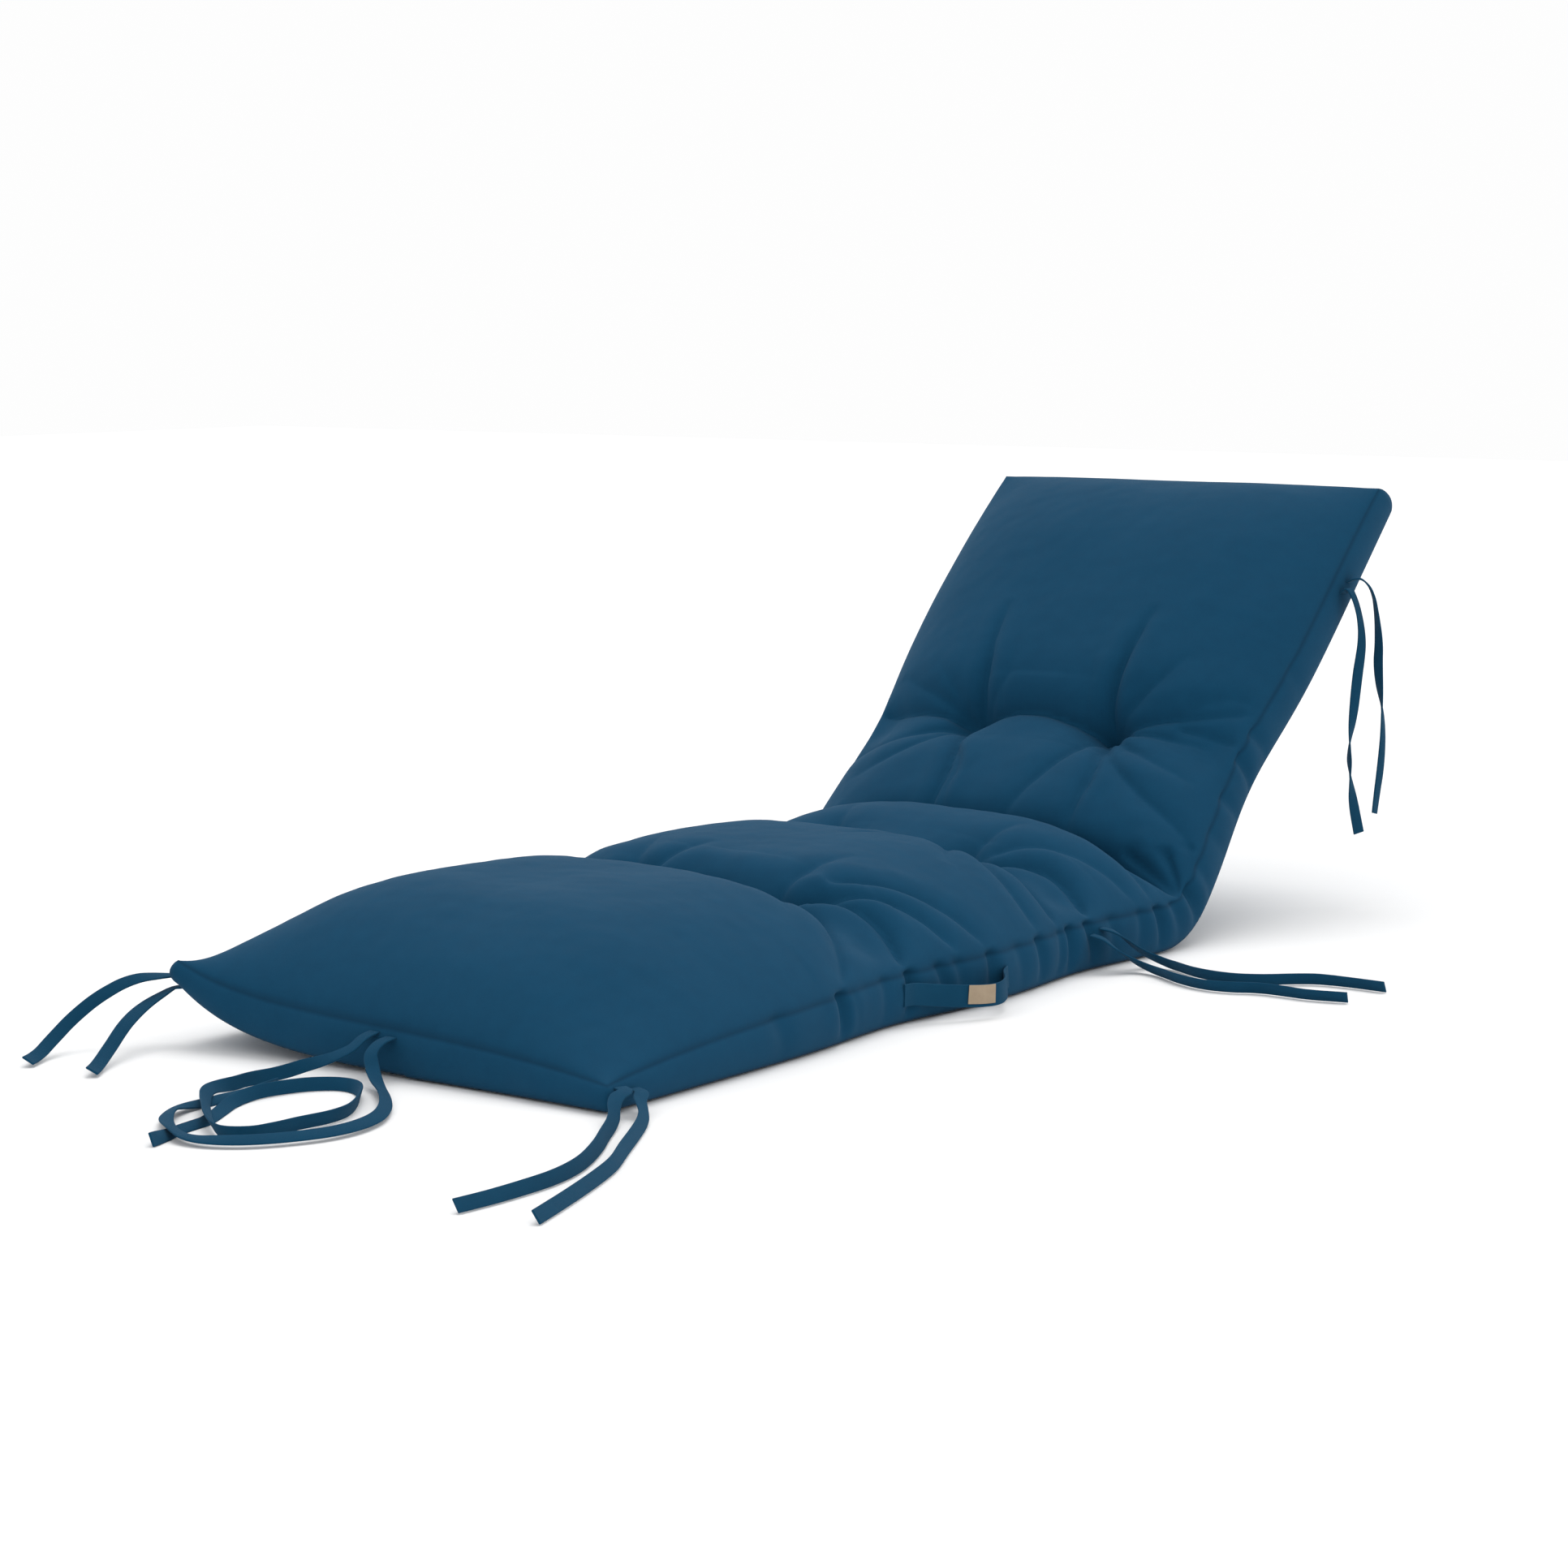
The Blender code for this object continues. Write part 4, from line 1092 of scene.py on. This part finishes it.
def ribbon(name: str, route: Array, width: float, thickness: float) -> bpy.types.Mesh:
    """Make a flat tape along a route, with soft edges.

    Args:
        name: name of the mesh.
        route: points with their lean; the width stands upright where the lean is 0.
        width: width of the tape.
        thickness: its thickness.

    Returns:
        The closed mesh.
    """
    curve = bpy.data.curves.new(name, "CURVE")
    curve.dimensions = "3D"
    curve.twist_mode = "MINIMUM"
    curve.use_fill_caps = True
    curve.bevel_resolution = EDGE_ROUNDS
    curve.bevel_depth = thickness / 2
    curve.extrude = (width - thickness) / 2
    spline = curve.splines.new("POLY")
    spline.points.add(len(route) - 1)
    for point, row in zip(spline.points, route):
        point.co = (row[0], row[1], row[2], 1.0)
        point.tilt = row[3]
    holder = bpy.data.objects.new(name, curve)
    bpy.context.scene.collection.objects.link(holder)
    mesh = bpy.data.meshes.new_from_object(holder.evaluated_get(bpy.context.evaluated_depsgraph_get()))
    bpy.data.objects.remove(holder)
    bpy.data.curves.remove(curve)
    mesh.name = name
    mesh.shade_smooth()
    return mesh


@dataclass
class Tie:
    """A flat folded tape, sewn in at its root and free at its other end."""

    name: str
    form: CushionForm

    def route(self) -> Array:
        """Lead the tape from its root to its free end, as the solids have it.

        Returns:
            Its points with their lean.
        """
        side_share, along, level, heading, gap = ROOTS[self.name]
        turn = math.radians(heading)
        outwards = np.array((math.cos(turn), math.sin(turn), 0.0))
        one = np.ones(1)
        root = self.form.skin(one * side_share, one * along, one * level, detail=False)[0] + outwards * gap
        rows = [np.array((*root, math.pi / 2)), np.array((*(root + outwards * TAPE_STUB), math.pi / 2))]
        for across, reach, height, lean in TIES[self.name]:
            rows.append(np.array((across, reach - ORIGIN_ALONG, height, math.radians(lean))))
        return laid(smooth_route(rows, TAPE_STEP))

    def build(self, material: bpy.types.Material) -> bpy.types.Object:
        """Args:
            material: the tapes' material.

        Returns:
            The piece.
        """
        route = self.route()
        mesh = ribbon(self.name + "_tape", smoothed(route, TAPE_PARTS), TAPE_WIDTH, TAPE_THICKNESS)
        piece = new_piece(self.name + "_tape", mesh, material)
        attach(piece, "root")
        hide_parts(self.name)
        return piece


@dataclass
class CarryHandle:
    """The webbing strap on the right boxing and the plain tag sewn on its outside."""

    form: CushionForm

    def route(self) -> Array:
        """Lead the strap out from the boxing and back.

        Returns:
            Its points.
        """
        rows = []
        for out, reach, height in STRAP_ROUTE:
            level = height / (BOXING_LOW + BOXING_HEIGHT)
            one = np.ones(1)
            skin = self.form.skin(one, one * (STRAP_CENTRE + reach), one * level, detail=False)[0]
            rows.append(np.array((skin[0] + out, skin[1], height, 0.0)))
        return smooth_route(rows, STRAP_STEP)

    def tag_route(self, strap: Array) -> Array:
        """Move a stretch of the strap's line outside it and raise it a little.

        Args:
            strap: points of the strap.

        Returns:
            The points of the tag.
        """
        first = round(TAG_SPAN[0] * (len(strap) - 1))
        last = round(TAG_SPAN[1] * (len(strap) - 1))
        offset = STRAP_THICKNESS / 2 + TAG_GAP + TAG_THICKNESS / 2
        rows = []
        for index in range(first, last + 1):
            heading = strap[index + 1, :3] - strap[index - 1, :3]
            outwards = np.array((heading[1], -heading[0], 0.0))
            outwards /= np.linalg.norm(outwards)
            rows.append(np.append(strap[index, :3] + outwards * offset + (0.0, 0.0, TAG_RAISED), 0.0))
        return np.array(rows)

    def build(self) -> list[bpy.types.Object]:
        """Make the strap and the tag.

        Returns:
            Both pieces.
        """
        strap = self.route()
        web = ribbon("handle_webbing", smoothed(strap, STRAP_PARTS), STRAP_WIDTH, STRAP_THICKNESS)
        handle = new_piece("handle_webbing", web, TAPE.make())
        patch = ribbon("plain_tag", smoothed(self.tag_route(strap), STRAP_PARTS), TAG_WIDTH, TAG_THICKNESS)
        tag = new_piece("plain_tag", patch, PatchFinish().make())
        for piece, node, slot in ((handle, "carry_handle", "handle_webbing"), (tag, "handle_tag", "tag")):
            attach(piece, "root")
            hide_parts(node)
        return [handle, tag]


@dataclass(frozen=True)
class Studio:
    """Floor, light and camera of the photo."""

    camera_place: Row = (2.56, -3.444, 0.817)
    camera_turn: Row = (82.49, 0.0, 35.52)
    lens: float = 84.6
    sensor: float = 36.0
    far_clip: float = 100.0
    overhead_towards: Row = (-0.10, 0.34, 1.0)
    overhead_spread: float = 40.0
    overhead_power: float = 1.10
    fill_place: Row = (3.4, -1.2, 1.4)
    fill_aim: Row = (0.0, 0.2, 0.1)
    fill_size: tuple[float, float] = (2.0, 1.6)
    fill_power: float = 4.0
    world_strength: float = 0.985
    floor_colour: Colour = (0.88, 0.88, 0.88)
    floor_roughness: float = 0.9
    floor_half: float = 14.0

    def camera(self) -> None:
        """Set up the camera that matches the photo."""
        data = bpy.data.cameras.new("camera")
        data.sensor_width = self.sensor
        data.lens = self.lens
        data.clip_end = self.far_clip
        camera = bpy.data.objects.new("camera", data)
        camera.location = self.camera_place
        camera.rotation_euler = [math.radians(angle) for angle in self.camera_turn]
        bpy.context.scene.collection.objects.link(camera)
        bpy.context.scene.camera = camera

    def overhead(self) -> None:
        """Add the broad distant light above the cushion."""
        data = bpy.data.lights.new("overhead", "SUN")
        data.angle = math.radians(self.overhead_spread)
        data.energy = self.overhead_power
        light = bpy.data.objects.new("overhead", data)
        light.rotation_euler = Vector(self.overhead_towards).to_track_quat("Z", "Y").to_euler()
        bpy.context.scene.collection.objects.link(light)

    def right_fill(self) -> None:
        """Add the soft rectangular light at the right."""
        data = bpy.data.lights.new("right_fill", "AREA")
        data.shape = "RECTANGLE"
        data.size, data.size_y = self.fill_size
        data.energy = self.fill_power
        light = bpy.data.objects.new("right_fill", data)
        light.location = self.fill_place
        aim = Vector(self.fill_aim) - Vector(self.fill_place)
        light.rotation_euler = aim.to_track_quat("-Z", "Y").to_euler()
        bpy.context.scene.collection.objects.link(light)

    def world(self) -> None:
        """Add the pale world, and show colours as they are."""
        world = bpy.data.worlds.new("world")
        world.use_nodes = True
        back = world.node_tree.nodes["Background"]
        back.inputs["Color"].default_value = (1.0, 1.0, 1.0, 1.0)
        back.inputs["Strength"].default_value = self.world_strength
        bpy.context.scene.world = world
        bpy.context.scene.view_settings.view_transform = "Standard"

    def floor(self) -> None:
        """Lay the plain pale floor."""
        mesh = bmesh.new()
        bmesh.ops.create_grid(mesh, x_segments=1, y_segments=1, size=self.floor_half)
        data = bpy.data.meshes.new("floor")
        mesh.to_mesh(data)
        mesh.free()
        finish = Shader("floor_pale", self.floor_colour, self.floor_roughness)
        new_piece("floor", data, finish.material)


def main() -> None:
    """Build the camera, the ties, the handle, the cushion and the studio."""
    logging.basicConfig(level=logging.INFO, format="%(name)s: %(message)s")
    studio = Studio()
    studio.camera()
    form = CushionForm()
    tape = TAPE.make()
    for name in TIES:
        Tie(name, form).build(tape)
    CarryHandle(form).build()
    CushionCover(form).build()
    studio.overhead()
    studio.right_fill()
    studio.world()
    studio.floor()
    bpy.context.view_layer.update()


if __name__ == "__main__":
    main()
